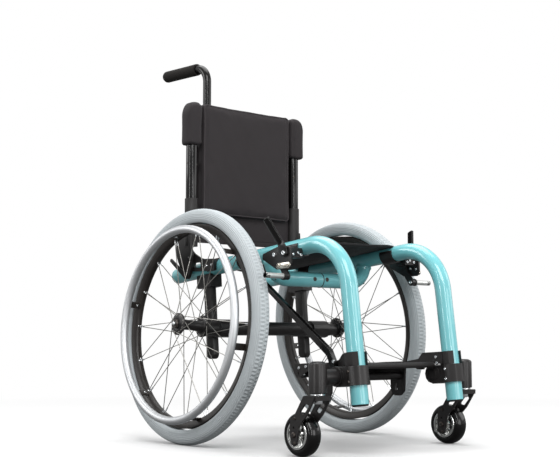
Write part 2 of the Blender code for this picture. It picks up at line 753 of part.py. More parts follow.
def spokes():
    """Crossed spokes: on each flange half lead and half trail, on opposite faces of the flange."""
    bm = bmesh.new()
    pair_pitch = 4 * math.pi / SPOKES_PER_FLANGE
    crossing = math.radians(SPOKE_CROSSING)
    face = FLANGE_THICKNESS / 2 + SPOKE_RADIUS * 0.6
    end_radius = RIM_INNER_RADIUS - SPOKE_END_GAP
    for flange, outward, shift in ((OUTER_FLANGE, 1, 0.0), (INNER_FLANGE, -1, pair_pitch / 4)):
        for index in range(SPOKES_PER_FLANGE // 2):
            for lead, rim_offset in ((1, SPOKE_RIM_OFFSET + 0.0012), (-1, SPOKE_RIM_OFFSET - 0.0012)):
                hub_angle = pair_pitch * (index + (0 if lead > 0 else 0.5)) + shift
                rim_angle = hub_angle + lead * crossing
                start = (SPOKE_CIRCLE_RADIUS * math.cos(hub_angle),
                         SPOKE_CIRCLE_RADIUS * math.sin(hub_angle),
                         flange + outward * lead * face)
                end = (end_radius * math.cos(rim_angle), end_radius * math.sin(rim_angle),
                       outward * rim_offset)
                add_cylinder(bm, start, end, SPOKE_RADIUS, sides=4)
    return object_from(bm)


def make_hub(word, axis):
    """Turned hub with its laced spokes as one body."""
    piece(word + "_spoked_hub", join(hub_body(), spokes()), "black_anodised", axis, on_axis=True)


# Casters

def leg_point(side, z):
    return Vector((side * FRAME_HALF_WIDTH, leg_y(z), z))


def make_caster_clamp(side, word, chair, frame_clearance):
    outer = TUBE_RADIUS + 0.0065
    x = side * FRAME_HALF_WIDTH
    top = CASTER_CLAMP_BOTTOM + CASTER_CLAMP_HEIGHT
    ring = cylinder(leg_point(side, CASTER_CLAMP_BOTTOM), leg_point(side, top), outer)
    stub_ring = cylinder((side * (STUB_INNER_END + FIT), STUB_Y, STUB_Z),
                         (side * (FRAME_HALF_WIDTH + 0.028), STUB_Y, STUB_Z),
                         STUB_RADIUS + CLAMP_WALL)
    middle_z = (CASTER_CLAMP_BOTTOM + top) / 2
    back = (STUB_Y - leg_y(middle_z)) / 2
    web = box((0.046, 0.044, CASTER_CLAMP_HEIGHT - 0.001),
              (x, leg_y(middle_z) + back, middle_z - back * math.tan(math.radians(LEG_SLOPE))), -LEG_SLOPE)
    stub_bore = cylinder((side * (FRAME_HALF_WIDTH - 0.05), STUB_Y, STUB_Z),
                         (side * (FRAME_HALF_WIDTH + 0.05), STUB_Y, STUB_Z), STUB_RADIUS + 0.0007)
    join(ring, stub_ring, web)
    cut(ring, frame_clearance, stub_bore)
    piece(word + "_caster_clamp", ring, "black_anodised", chair)


def make_caster_housing(side, word, chair):
    """Stub through the clamp, with the swivel's barrel on its outer end."""
    bore = STEM_RADIUS + RUNNING_FIT
    bore_top = STEM_TOP + 0.003
    barrel = turned([(0, HOUSING_TOP + 0.0025), (HOUSING_RADIUS * 0.62, HOUSING_TOP + 0.0012),
                     (HOUSING_RADIUS - 0.001, HOUSING_TOP - 0.002), (HOUSING_RADIUS, HOUSING_TOP - 0.006),
                     (HOUSING_RADIUS, HOUSING_BOTTOM), (bore, HOUSING_BOTTOM), (bore, bore_top),
                     (0, bore_top)], 20)
    barrel.location = (side * CASTER_X, CASTER_STEM_Y, 0)
    stub = cylinder((side * STUB_INNER_END, STUB_Y, STUB_Z), (side * (CASTER_X - 0.012), STUB_Y, STUB_Z),
                    STUB_RADIUS)
    join(barrel, stub)
    piece(word + "_caster_housing", barrel, "black_anodised", chair)


def fork_outline():
    """Side view of a fork arm: a slanting bar from the crown to the axle plate."""
    eye_y, eye_z = CASTER_STEM_Y + CASTER_TRAIL, CASTER_RADIUS
    crown_low = FORK_CROWN_TOP - FORK_CROWN_THICKNESS
    outline = [(CASTER_STEM_Y - 0.018, FORK_CROWN_TOP), (CASTER_STEM_Y + 0.018, FORK_CROWN_TOP),
               (eye_y - 0.004, eye_z + 0.044), (eye_y + 0.0115, eye_z + 0.033),
               (eye_y + 0.0130, eye_z + 0.004), (eye_y + 0.0085, eye_z - 0.020), (eye_y, eye_z - 0.0240),
               (eye_y - 0.0085, eye_z - 0.020), (eye_y - 0.0125, eye_z + 0.004),
               (eye_y - 0.0160, eye_z + 0.019), (CASTER_STEM_Y + 0.010, eye_z + 0.0415),
               (CASTER_STEM_Y - 0.012, crown_low)]
    radii = [0.003, 0.006, 0.006, 0.006, 0, 0.004, 0, 0.004, 0, 0.006, 0.004, 0.004]
    window = [(CASTER_STEM_Y - 0.001, crown_low - 0.0095), (CASTER_STEM_Y + 0.013, crown_low - 0.0060),
              (CASTER_STEM_Y + 0.032, eye_z + 0.0465), (CASTER_STEM_Y + 0.0165, eye_z + 0.0445)]
    return rounded(outline, radii, 2), rounded(window, 0.003, 2)


def make_fork(side, word, swivel):
    eye_y, eye_z = CASTER_STEM_Y + CASTER_TRAIL, CASTER_RADIUS
    x = side * CASTER_X
    outline, window = fork_outline()
    offset = FORK_INSIDE_HALF_WIDTH + FORK_PLATE / 2
    spare_hole = circle((eye_y, eye_z + 0.0155), FORK_HOLE_RADIUS, 8)
    arms = [plate(outline, FORK_PLATE, x + end * offset, (window, spare_hole)) for end in (-1, 1)]
    crown = box((2 * FORK_INSIDE_HALF_WIDTH + 0.004, 0.034, FORK_CROWN_THICKNESS),
                (x, CASTER_STEM_Y, FORK_CROWN_TOP - FORK_CROWN_THICKNESS / 2))
    spacer = cylinder((x, CASTER_STEM_Y, FORK_CROWN_TOP - 0.002),
                      (x, CASTER_STEM_Y, HOUSING_BOTTOM - RUNNING_FIT),
                      SPACER_RADIUS)
    stem = cylinder((x, CASTER_STEM_Y, FORK_CROWN_TOP - 0.004), (x, CASTER_STEM_Y, STEM_TOP), STEM_RADIUS,
                    sides=12)
    nut = cylinder((x, CASTER_STEM_Y, FORK_CROWN_TOP - FORK_CROWN_THICKNESS - 0.006),
                   (x, CASTER_STEM_Y, FORK_CROWN_TOP - 0.006), 0.008, sides=6)
    axle_half = FORK_INSIDE_HALF_WIDTH + FORK_PLATE + 0.003
    axle = cylinder((x - axle_half, eye_y, eye_z), (x + axle_half, eye_y, eye_z), CASTER_AXLE_RADIUS,
                    sides=12)
    join(crown, *arms, spacer, stem, nut, axle)
    piece(word + "_caster_fork", crown, "black_anodised", swivel)


def make_caster_wheel(word, axis):
    """Solid tyre and turned hub, drawn with the axle along Z."""
    inner = CASTER_HUB_RADIUS + FIT
    half = [(CASTER_RADIUS, 0), (CASTER_RADIUS - 0.0010, 0.0082), (CASTER_RADIUS - 0.0055, 0.0150),
            (CASTER_RADIUS - 0.0110, CASTER_HALF_WIDTH), (inner, CASTER_HALF_WIDTH - 0.001)]
    upper = [(radius, height) for radius, height in reversed(half)]
    lower = [(radius, -height) for radius, height in half[1:]]
    piece(word + "_caster_tyre", turned(upper + lower, CASTER_SIDES, closed=True), "black_tyre", axis,
          on_axis=True)
    bore = CASTER_AXLE_RADIUS + RUNNING_FIT
    hub_half = [(bore, FORK_INSIDE_HALF_WIDTH - 0.0006), (0.0075, FORK_INSIDE_HALF_WIDTH - 0.0006),
                (0.0090, 0.0085), (0.0235, 0.0085), (CASTER_HUB_RADIUS, CASTER_HALF_WIDTH - 0.001)]
    lower_hub = [(radius, -height) for radius, height in reversed(hub_half)]
    piece(word + "_caster_hub", turned(hub_half + lower_hub, CASTER_SIDES, closed=True), "chrome", axis,
          on_axis=True)


# Footrest

def make_footrest_clamp(side, word, chair, frame_clearance):
    low = CASTER_CLAMP_BOTTOM + CASTER_CLAMP_HEIGHT + FIT
    high = low + FOOTREST_CLAMP_HEIGHT
    ring = cylinder(leg_point(side, low), leg_point(side, high), TUBE_RADIUS + 0.006)
    mouth = box((0.026, 0.030, 0.06),
                (side * FRAME_HALF_WIDTH, leg_y(high) - TUBE_RADIUS - 0.008, high - 0.012))
    outline = [(leg_y(high), high), (-0.394, 0.2150), (-0.382, 0.2010), (-0.346, 0.1950),
               (-0.268, 0.1920), (-0.236, 0.1900), (-0.232, 0.170), (-0.240, 0.1610), (-0.256, 0.1610),
               (-0.272, 0.1720), (-0.300, 0.1800), (-0.372, 0.183), (-0.376, 0.1765),
               (-0.394, 0.1765), (-0.397, 0.1905), (leg_y(high), low + 0.001)]
    radii = [0, 0.006, 0.006, 0.006, 0.006, 0.006, 0.006, 0.006, 0.006, 0.006, 0.006, 0.002, 0.002,
             0.002, 0.002, 0]
    pin_hole = circle((FOOT_PIVOT_Y, FOOT_PIVOT_Z), FOOT_PIN_RADIUS + RUNNING_FIT)
    arm = plate(rounded(outline, radii, 2), ARM_THICKNESS, side * (ARM_INNER_X + ARM_THICKNESS / 2),
                (pin_hole,))
    stop_z = PLATE_Z - PLATE_THICKNESS / 2 - FIT - STOP_PIN_RADIUS
    stop = cylinder((side * (ARM_INNER_X + 0.004), -0.385, stop_z),
                    (side * (ARM_INNER_X - STOP_PIN_LENGTH), -0.385, stop_z), STOP_PIN_RADIUS, sides=8)
    join(ring, arm, stop)
    cut(ring, frame_clearance, mouth)
    piece(word + "_footrest_clamp", ring, "black_anodised", chair)


def make_footplate(pivot):
    """Flat plate with a rolled front edge, hung on slotted cheeks that turn on the rear pin."""
    half = PLATE_HALF_WIDTH
    middle_y = (PLATE_REAR_Y + PLATE_FRONT_Y) / 2
    board = box((2 * half, PLATE_REAR_Y - PLATE_FRONT_Y, PLATE_THICKNESS), (0, middle_y, PLATE_Z))
    roll = cylinder((-half, PLATE_FRONT_Y, PLATE_Z), (half, PLATE_FRONT_Y, PLATE_Z), PLATE_ROLL_RADIUS)
    front, rear = PLATE_TUBE_Y - 0.0165, PLATE_TUBE_Y + 0.0300
    outline = [(PLATE_REAR_Y, PLATE_Z), (front, PLATE_Z), (front + 0.003, 0.126), (front + 0.015, 0.1145),
               (rear - 0.011, 0.1145), (rear - 0.001, 0.128), (rear, 0.170), (-0.262, 0.160),
               (-0.243, 0.158),
               (-0.233, 0.168)]
    radii = [0, 0, 0.008, 0.008, 0.008, 0.008, 0.006, 0.006, 0.008, 0.006]
    slot = rounded([(-0.3245, 0.128), (-0.3155, 0.126), (-0.3135, 0.144), (-0.3190, 0.147)], 0.003, 2)
    x = half - CHEEK_THICKNESS / 2
    cheeks = [plate(rounded(outline, radii, 2), CHEEK_THICKNESS, side * x, (slot,)) for side, _ in SIDES]
    inside = half - 0.001
    barrels = [cylinder((-inside, y, z), (inside, y, z), FOOT_TUBE_RADIUS)
               for y, z in ((FOOT_PIVOT_Y, FOOT_PIVOT_Z), (PLATE_TUBE_Y, PLATE_TUBE_Z))]
    reach = ARM_INNER_X + ARM_THICKNESS + 0.0015
    pin = cylinder((-reach, FOOT_PIVOT_Y, FOOT_PIVOT_Z), (reach, FOOT_PIVOT_Y, FOOT_PIVOT_Z),
                   FOOT_PIN_RADIUS)
    join(board, roll, *cheeks, *barrels, pin)
    piece("footplate", board, "black_plastic", pivot)


def make_brace(chair, frame_clearance):
    """Tapered bar on the rider's right, with its ring on the rail and its foot on the arm."""
    x = -BRACE_X
    top = Vector((BRACE_TOP_Y, rail_z(BRACE_TOP_Y) - TUBE_RADIUS))
    knee = Vector((BRACE_KNEE_Y, BRACE_KNEE_Z))
    foot = Vector((BRACE_FOOT_Y, BRACE_FOOT_Z))
    lean = (top - knee).normalized()
    aside = Vector((-lean.y, lean.x))
    low, high = aside * BRACE_WIDTH_LOW / 2, aside * BRACE_WIDTH_HIGH / 2
    foot_side = Vector((BRACE_WIDTH_LOW / 2, -0.002))
    outline = [foot - foot_side, foot + foot_side, knee - low, top - high, top + high, knee + low]
    bar = plate(rounded(outline, [0.007, 0.007, 0.004, 0, 0, 0.012], 3), BRACE_THICKNESS, x)
    join(bar, rail_ring(-1, BRACE_TOP_Y, BRACE_RING_LENGTH, RING_WALL))
    cut(bar, frame_clearance)
    piece("frame_brace", bar, "black_anodised", chair)


# Seat and back

def make_seat(chair, rail_tools):
    """Sling that hangs between the rails: its section sags as a parabola from edge to edge."""
    half = FRAME_HALF_WIDTH - SEAT_OVER_RAIL
    bm = bmesh.new()
    bmesh.ops.create_grid(bm, x_segments=12, y_segments=6, size=1.0)
    for vert in bm.verts:
        share, y = vert.co.x, SEAT_FRONT_Y + (SEAT_REAR_Y - SEAT_FRONT_Y) * (vert.co.y + 1) / 2
        dip = SEAT_SAG * (1 - share ** 2) + 0.004 * share ** 8
        vert.co = (share * half, y, rail_z(y) + TUBE_RADIUS + FIT - SEAT_THICKNESS * 0.45 - dip)
    upper = bmesh.ops.extrude_face_region(bm, geom=bm.faces[:])["geom"]
    corners = [item for item in upper if isinstance(item, bmesh.types.BMVert)]
    bmesh.ops.translate(bm, vec=(0, 0, SEAT_THICKNESS), verts=corners)
    bmesh.ops.recalc_face_normals(bm, faces=bm.faces)
    seat = object_from(bm)
    reliefs = [(-1, BRACE_TOP_Y, BRACE_RING_LENGTH)]
    reliefs += [(side, LOCK_RING_Y, LOCK_RING_LENGTH) for side, _ in SIDES]
    reliefs += [(side, BRACKET_RING_Y, BRACKET_RING_LENGTH) for side, _ in SIDES]
    rings = [rail_ring(side, middle, length + 0.004, RING_WALL + 0.001) for side, middle, length in reliefs]
    cut(seat, *rail_tools, *rings)
    piece("seat_sling", seat, "black_upholstery", chair)


def side_plane():
    """Distance from the middle of the inner face of the hinge bracket."""
    return TUBE_RADIUS + FRAME_HALF_WIDTH + BRACKET_FACE_GAP


def tang_face():
    """Distance from the middle of the outer face of the folding plate."""
    return side_plane() + BRACKET_THICKNESS + RUNNING_FIT + TANG_THICKNESS


def make_back_bracket(side, word, chair, frame_clearance):
    """Saddle on the rail with a flat cheek outside it that carries the hinge pin."""
    start = BRACKET_RING_Y - BRACKET_RING_LENGTH / 2
    ring = rail_ring(side, BRACKET_RING_Y, BRACKET_RING_LENGTH, RING_WALL)
    spacer = box((0.010, 0.020, 0.022),
                 (side * (side_plane() - 0.003), BRACKET_RING_Y, rail_z(BRACKET_RING_Y)))
    open_below = box((0.044, 0.060, 0.030),
                     (side * (side_plane() - 0.0225), BRACKET_RING_Y, rail_z(BRACKET_RING_Y) - 0.019),
                     -RAIL_SLOPE)
    outline = [(start, 0.4135), (0.104, 0.4155), (0.128, 0.425), (0.140, 0.445), (0.136, 0.470),
               (0.112, 0.472),
               (0.099, 0.461), (0.072, 0.448), (0.056, 0.4445), (start, 0.443)]
    radii = [0.004, 0.010, 0.010, 0.010, 0.008, 0.006, 0.010, 0.010, 0.004, 0.004]
    window = rounded([(0.068, 0.4245), (0.097, 0.4245), (0.097, 0.4370), (0.070, 0.4370)], 0.004, 2)
    arm = plate(rounded(outline, radii, 2), BRACKET_THICKNESS,
                side * (side_plane() + BRACKET_THICKNESS / 2), (window,))
    face = side_plane() + BRACKET_THICKNESS
    pin_end = face + TANG_THICKNESS + 2 * RUNNING_FIT
    pivot = (BACK_PIVOT_Y, BACK_PIVOT_Z)
    pin = cylinder((side * (face - 0.002), *pivot), (side * (pin_end + 0.001), *pivot), BACK_PIN_RADIUS)
    head = cylinder((side * pin_end, *pivot), (side * (pin_end + 0.0035), *pivot), BACK_PIN_HEAD_RADIUS,
                    BACK_PIN_HEAD_RADIUS - 0.002)
    join(ring, spacer)
    cut(ring, open_below)
    join(arm, ring, pin, head)
    cut(arm, frame_clearance)
    piece(word + "_back_bracket", arm, "black_anodised", chair)


def make_latch(side, word, pivot):
    """Release lever outside the folding plate, turning on the plate's lower pin."""
    base, tip = (LATCH_PIVOT_Y, LATCH_PIVOT_Z), (LATCH_TIP_Y, LATCH_TIP_Z)
    x = side * (tang_face() + RUNNING_FIT + LATCH_THICKNESS / 2)
    hole = circle(base, LATCH_PIN_RADIUS + RUNNING_FIT, 10)
    lever = plate(bar_outline(base, tip, 0.0065, 0.0045), LATCH_THICKNESS, x, (hole,))
    piece(word + "_back_latch", lever, "black_anodised", pivot)


def make_canes(side, word, back):
    x = side * CANE_X
    wall = CANE_RADIUS - 0.002
    cane = turned([(0, CANE_TOP), (CANE_RADIUS - 0.002, CANE_TOP), (CANE_RADIUS, CANE_TOP - 0.002),
                   (CANE_RADIUS, CANE_BOTTOM), (wall, CANE_BOTTOM), (wall, CANE_BOTTOM + 0.03),
                   (0, CANE_BOTTOM + 0.03)], 16)
    cane.location = (x, CANE_Y, 0)
    piece(word + "_back_cane", cane, "black_enamel", back)


def make_socket(side, word, back):
    """Cuff that holds a cane, with the folding plate that turns on the hinge pin."""
    bore = CANE_RADIUS + 0.0005
    floor = CANE_BOTTOM - FIT
    cuff = turned([(0, floor), (bore, floor), (bore, SOCKET_TOP), (SOCKET_RADIUS, SOCKET_TOP),
                   (SOCKET_RADIUS, SOCKET_BOTTOM), (0, SOCKET_BOTTOM)][::-1], 16)
    cuff.location = (side * CANE_X, CANE_Y, 0)
    outline = [(0.1065, 0.535), (0.1335, 0.535), (0.1500, 0.522), (0.1625, 0.500), (0.1655, 0.465),
               (0.1550, 0.442),
               (0.1275, 0.397), (0.1110, 0.397), (0.0975, 0.425), (0.0960, 0.455), (0.1035, 0.482)]
    radii = [0, 0.010, 0.010, 0.012, 0.012, 0.012, 0.007, 0.007, 0.010, 0.010, 0.010]
    hole = circle((BACK_PIVOT_Y, BACK_PIVOT_Z), BACK_PIN_RADIUS + RUNNING_FIT)
    tang = plate(rounded(outline, radii, 2), TANG_THICKNESS, side * (tang_face() - TANG_THICKNESS / 2),
                 (hole,))
    pin_end = tang_face() + RUNNING_FIT + LATCH_THICKNESS + 0.002
    latch_pin = cylinder((side * (tang_face() - 0.003), LATCH_PIVOT_Y, LATCH_PIVOT_Z),
                         (side * pin_end, LATCH_PIVOT_Y, LATCH_PIVOT_Z), LATCH_PIN_RADIUS, sides=10)
    well = cylinder((side * CANE_X, CANE_Y, floor), (side * CANE_X, CANE_Y, SOCKET_TOP + 0.01), bore,
                    sides=16)
    join(cuff, tang, latch_pin)
    cut(cuff, well)
    piece(word + "_cane_socket", cuff, "black_plastic", back)


def cane_tool(side):
    return cylinder((side * CANE_X, CANE_Y, 0.4), (side * CANE_X, CANE_Y, CANE_TOP + 0.001),
                    CANE_RADIUS + 0.0006, sides=16)


def make_cross_bar(back, cane_tools):
    """Bar behind the pad with a saddle against each cane and the push handle's socket."""
    end = CANE_X - 0.0125
    bar = cylinder((-end, CROSS_BAR_Y, CROSS_BAR_Z), (end, CROSS_BAR_Y, CROSS_BAR_Z), CROSS_BAR_RADIUS)
    for side, _ in SIDES:
        join(bar, box((0.010, 0.036, 0.020), (side * (CANE_X - 0.0140), CROSS_BAR_Y - 0.015, CROSS_BAR_Z)))
    socket = cylinder((HANDLE_X, CROSS_BAR_Y, CROSS_BAR_Z - 0.006),
                      (HANDLE_X, CROSS_BAR_Y, HANDLE_SOCKET_TOP),
                      HANDLE_TUBE_RADIUS + 0.003)
    bore = cylinder((HANDLE_X, CROSS_BAR_Y, HANDLE_BOTTOM - FIT),
                    (HANDLE_X, CROSS_BAR_Y, HANDLE_SOCKET_TOP + 0.05),
                    HANDLE_TUBE_RADIUS + 0.0006)
    join(bar, socket)
    cut(bar, bore, *cane_tools)
    piece("back_cross_bar", bar, "black_enamel", back)


def handle_path(rear_y):
    rise = math.tan(math.radians(HANDLE_RISE))
    corners = [(HANDLE_X, CROSS_BAR_Y, HANDLE_BOTTOM), (HANDLE_X, CROSS_BAR_Y, HANDLE_TOP),
               (HANDLE_X, rear_y, HANDLE_TOP + rise * (rear_y - CROSS_BAR_Y))]
    return rounded(corners, HANDLE_BEND, steps=6, closed=False)


def make_push_handle(back):
    piece("push_handle_tube", tube(handle_path(GRIP_END_Y - 0.0075), HANDLE_TUBE_RADIUS), "black_enamel",
          back)
    rise = math.tan(math.radians(HANDLE_RISE))
    start = Vector((HANDLE_X, GRIP_START_Y, HANDLE_TOP + rise * (GRIP_START_Y - CROSS_BAR_Y)))
    end = Vector((HANDLE_X, GRIP_END_Y, HANDLE_TOP + rise * (GRIP_END_Y - CROSS_BAR_Y)))
    length = (end - start).length
    bore = HANDLE_TUBE_RADIUS + 2 * RUNNING_FIT
    profile = [(0, length), (GRIP_RADIUS - 0.005, length), (GRIP_RADIUS, length - 0.006),
               (GRIP_RADIUS, 0.008),
               (GRIP_RADIUS - 0.002, 0), (bore, 0), (bore, length - 0.0055), (0, length - 0.0055)]
    grip = turned(profile, 14)
    turn = (end - start).to_track_quat("Z", "Y").to_matrix().to_4x4()
    grip.matrix_world = Matrix.Translation(start) @ turn
    piece("push_handle_grip", grip, "black_foam", back)


def cushion(half_width, bottom, top, thickness, middle_y, crown, drawn_in, cuts=6):
    """Upright pad with a crowned face and back, rounded edges and sides drawn in between corners."""
    bm = bmesh.new()
    bmesh.ops.create_cube(bm, size=2.0)
    bmesh.ops.subdivide_edges(bm, edges=bm.edges, cuts=cuts, use_grid_fill=True)
    middle_z, half_height = (top + bottom) / 2, (top - bottom) / 2
    edge = thickness / 2 - crown
    for vert in bm.verts:
        u, v, w = vert.co
        fullness = (1 - abs(u) ** 5) * (1 - abs(w) ** 5)
        inset = edge * (1 - math.sqrt(max(0.0, 1 - 0.72 * v * v)))
        x = u * (half_width - drawn_in * (1 - w * w)) - math.copysign(inset * abs(u) ** 8, u)
        z = w * (half_height - drawn_in * 0.5 * (1 - u * u)) - math.copysign(inset * abs(w) ** 8, w)
        y = v * (edge * 0.78 + (crown + edge * 0.22) * fullness)
        vert.co = (x, middle_y + y, middle_z + z)
    return object_from(bm)


def make_upholstery(back, cane_tools):
    """Back pad, the wings that sleeve the cane tops and the thin flap below the pad."""
    pad = cushion(PAD_HALF_WIDTH, PAD_BOTTOM, PAD_TOP, PAD_THICKNESS, CANE_Y, 0.007, 0.004)
    sling = box((2 * SLING_HALF_WIDTH, 0.010, CROSS_BAR_Z - 0.012 - FLAP_BOTTOM - 0.010),
                (0, SLING_BACK_Y - 0.005, (CROSS_BAR_Z - 0.012 + FLAP_BOTTOM + 0.010) / 2))
    overlap = 0.012
    flap = box((2 * FLAP_HALF_WIDTH, FLAP_THICKNESS, PAD_BOTTOM + overlap - FLAP_BOTTOM),
               (0, CANE_Y, (PAD_BOTTOM + overlap + FLAP_BOTTOM) / 2))
    join(pad, sling, flap)
    for side, _ in SIDES:
        x = side * (CANE_X + 0.002)
        wing = turned([(0, WING_TOP), (WING_RADIUS * 0.6, WING_TOP - 0.001),
                       (WING_RADIUS * 0.92, WING_TOP - 0.010),
                       (WING_RADIUS, WING_TOP - 0.026), (WING_RADIUS, WING_BOTTOM), (0, WING_BOTTOM)], 14)
        wing.location = (x, CANE_Y, 0)
        join(pad, wing)
    cut(pad, *cane_tools)
    piece("back_upholstery", pad, "black_upholstery", back)


# Wheel locks

def make_lock_bracket(side, word, chair, frame_clearance):
    """Ring on the rail with a bridge out to the lock's plate and its two pins."""
    ring = rail_ring(side, LOCK_RING_Y, LOCK_RING_LENGTH, RING_WALL)
    bridge_start = FRAME_HALF_WIDTH + 0.015
    bridge_end = LOCK_PLATE_X + 0.001
    bridge = box((bridge_end - bridge_start, LOCK_BRIDGE_LENGTH, 0.022),
                 (side * (bridge_start + bridge_end) / 2, LOCK_BRIDGE_Y, 0.437))
    outline = [(-0.312, 0.448), (-0.290, 0.4530), (-0.268, 0.452), (-0.214, 0.438), (-0.213, 0.426),
               (-0.262, 0.401),
               (-0.306, 0.400), (-0.313, 0.412)]
    radii = [0.006, 0.006, 0.006, 0.005, 0.005, 0.008, 0.005, 0.005]
    outer = LOCK_PLATE_X + LOCK_PLATE_THICKNESS
    plate_shape = plate(rounded(outline, radii, 2), LOCK_PLATE_THICKNESS,
                        side * (LOCK_PLATE_X + LOCK_PLATE_THICKNESS / 2))
    lever_pin = cylinder((side * (outer - 0.002), LEVER_PIVOT_Y, LEVER_PIVOT_Z),
                         (side * (outer + RUNNING_FIT + LEVER_THICKNESS + 0.002), LEVER_PIVOT_Y,
                          LEVER_PIVOT_Z),
                         LOCK_PIN_RADIUS, sides=10)
    shoe_pin = cylinder((side * (LOCK_PLATE_X + 0.002), SHOE_PIVOT_Y, SHOE_PIVOT_Z),
                        (side * (LOCK_PLATE_X - RUNNING_FIT - SHOE_THICKNESS - 0.002), SHOE_PIVOT_Y,
                         SHOE_PIVOT_Z),
                        LOCK_PIN_RADIUS, sides=10)
    open_above = box((0.060, LOCK_RING_LENGTH + 0.020, 0.034),
                     (side * FRAME_HALF_WIDTH, LOCK_RING_Y, rail_z(LOCK_RING_Y) + 0.0240), -RAIL_SLOPE)
    cut(ring, open_above)
    join(plate_shape, ring, bridge, lever_pin, shoe_pin)
    cut(plate_shape, frame_clearance)
    piece(word + "_lock_bracket", plate_shape, "black_anodised", chair)


def make_lock_lever(side, word, pivot):
    """Lever plate on its pin, with a grip that leans outward to the tip."""
    x = side * (LOCK_PLATE_X + LOCK_PLATE_THICKNESS + RUNNING_FIT + LEVER_THICKNESS / 2)
    hub = Vector((LEVER_PIVOT_Y, LEVER_PIVOT_Z))
    steps = ((-0.010, -0.007), (0.007, -0.009), (0.019, 0.004), (0.022, 0.024), (0.007, 0.028),
             (-0.009, 0.010))
    outline = [hub + Vector(step) for step in steps]
    hole = circle(hub, LOCK_PIN_RADIUS + RUNNING_FIT, 10)
    plate_shape = plate(rounded(outline, [0.006, 0.006, 0.006, 0.004, 0.004, 0.006], 2), LEVER_THICKNESS,
                        x, (hole,))
    base = Vector((x, LEVER_PIVOT_Y + 0.0150, LEVER_PIVOT_Z + 0.0240))
    tip = Vector((side * LEVER_TIP_X, LEVER_TIP_Y, LEVER_TIP_Z))
    grip = cylinder(base, base.lerp(tip, 0.93), LEVER_GRIP_RADIUS)
    end = cylinder(base.lerp(tip, 0.90), tip, LEVER_GRIP_RADIUS, LEVER_GRIP_RADIUS * 0.6)
    join(plate_shape, grip, end)
    piece(word + "_lock_lever", plate_shape, "black_anodised", pivot)


def make_lock_shoe(side, word, pivot):
    """Arm inside the plate with the round shoe that reaches out in front of the tyre."""
    inner = LOCK_PLATE_X - RUNNING_FIT - SHOE_THICKNESS
    base, rod_centre = (SHOE_PIVOT_Y, SHOE_PIVOT_Z), (SHOE_ROD_Y, SHOE_ROD_Z)
    hole = circle(base, LOCK_PIN_RADIUS + RUNNING_FIT, 10)
    arm = plate(bar_outline(base, rod_centre, 0.0080, 0.0080), SHOE_THICKNESS,
                side * (inner + SHOE_THICKNESS / 2), (hole,))
    boss = cylinder((side * inner, *rod_centre), (side * (inner + 0.0105), *rod_centre), SHOE_BOSS_RADIUS)
    rod = cylinder((side * (inner + 0.001), *rod_centre), (side * SHOE_ROD_END_X, *rod_centre),
                   SHOE_ROD_RADIUS)
    join(arm, boss, rod)
    piece(word + "_lock_shoe", arm, "satin_aluminium", pivot)


def hinge(name, chair, x, y, z):
    """Empty on a joint's axis."""
    return empty(name, (x, y, z), parent=chair)


def build_side(side, word, chair, frame_clearance, post_clearance, back):
    """Everything on one side of the chair."""
    make_side_frame(side, word, chair)
    make_end_caps(side, word, chair)
    make_axle_posts(side, word, chair, frame_clearance, post_clearance)
    make_camber_clamp(side, word, chair, post_clearance)
    wheel = wheel_frame(side, word, chair)
    make_tyre(word, wheel)
    make_rim(word, wheel)
    make_handrim(word, wheel)
    make_hub(word, wheel)
    make_camber_plug(side, word, chair)
    make_axle(side, word, chair)
    button_slide = hinge(word + "_axle_button_slide", chair, *axle_point(side, HUB_OUTER_END))
    make_axle_button(side, word, button_slide)

    make_caster_clamp(side, word, chair, frame_clearance)
    make_caster_housing(side, word, chair)
    swivel = hinge(word + "_caster_swivel", chair, side * CASTER_X, CASTER_STEM_Y, FORK_CROWN_TOP)
    make_fork(side, word, swivel)
    roll = empty(word + "_caster_axis", (0, CASTER_TRAIL, CASTER_RADIUS - FORK_CROWN_TOP),
                 (0, math.radians(90), 0), swivel)
    make_caster_wheel(word, roll)

    make_footrest_clamp(side, word, chair, frame_clearance)
    make_back_bracket(side, word, chair, frame_clearance)
    latch_axis = empty(word + "_back_latch_axis", (side * tang_face(), LATCH_PIVOT_Y - BACK_PIVOT_Y,
                                                   LATCH_PIVOT_Z - BACK_PIVOT_Z), parent=back)
    make_latch(side, word, latch_axis)
    make_canes(side, word, back)
    make_socket(side, word, back)
    make_lock_bracket(side, word, chair, frame_clearance)
    lock_x = side * (LOCK_PLATE_X + LOCK_PLATE_THICKNESS)
    make_lock_lever(side, word, hinge(word + "_lock_lever_axis", chair, lock_x, LEVER_PIVOT_Y,
                                      LEVER_PIVOT_Z))
    make_lock_shoe(side, word, hinge(word + "_lock_shoe_axis", chair, lock_x, SHOE_PIVOT_Y, SHOE_PIVOT_Z))


def build():
    chair = empty("chair", (0, AXLE_BEHIND_MIDDLE, 0))
    back = hinge("back_fold_axis", chair, 0, BACK_PIVOT_Y, BACK_PIVOT_Z)
    frame_tools = {side: frame_tool(side) for side, _ in SIDES}
    post_tools = {side: post_tool(side) for side, _ in SIDES}
    for tool in (*frame_tools.values(), *post_tools.values()):
        tool.parent = chair
    cane_tools = [cane_tool(side) for side, _ in SIDES]

    make_camber_tube(chair)
    make_brace(chair, frame_tools[-1])
    make_seat(chair, frame_tools.values())
    for side, word in SIDES:
        build_side(side, word, chair, frame_tools[side], post_tools[side], back)
    make_cross_bar(back, cane_tools)
    make_push_handle(back)
    make_upholstery(back, cane_tools)
    make_footplate(hinge("footplate_axis", chair, 0, FOOT_PIVOT_Y, FOOT_PIVOT_Z))


build()
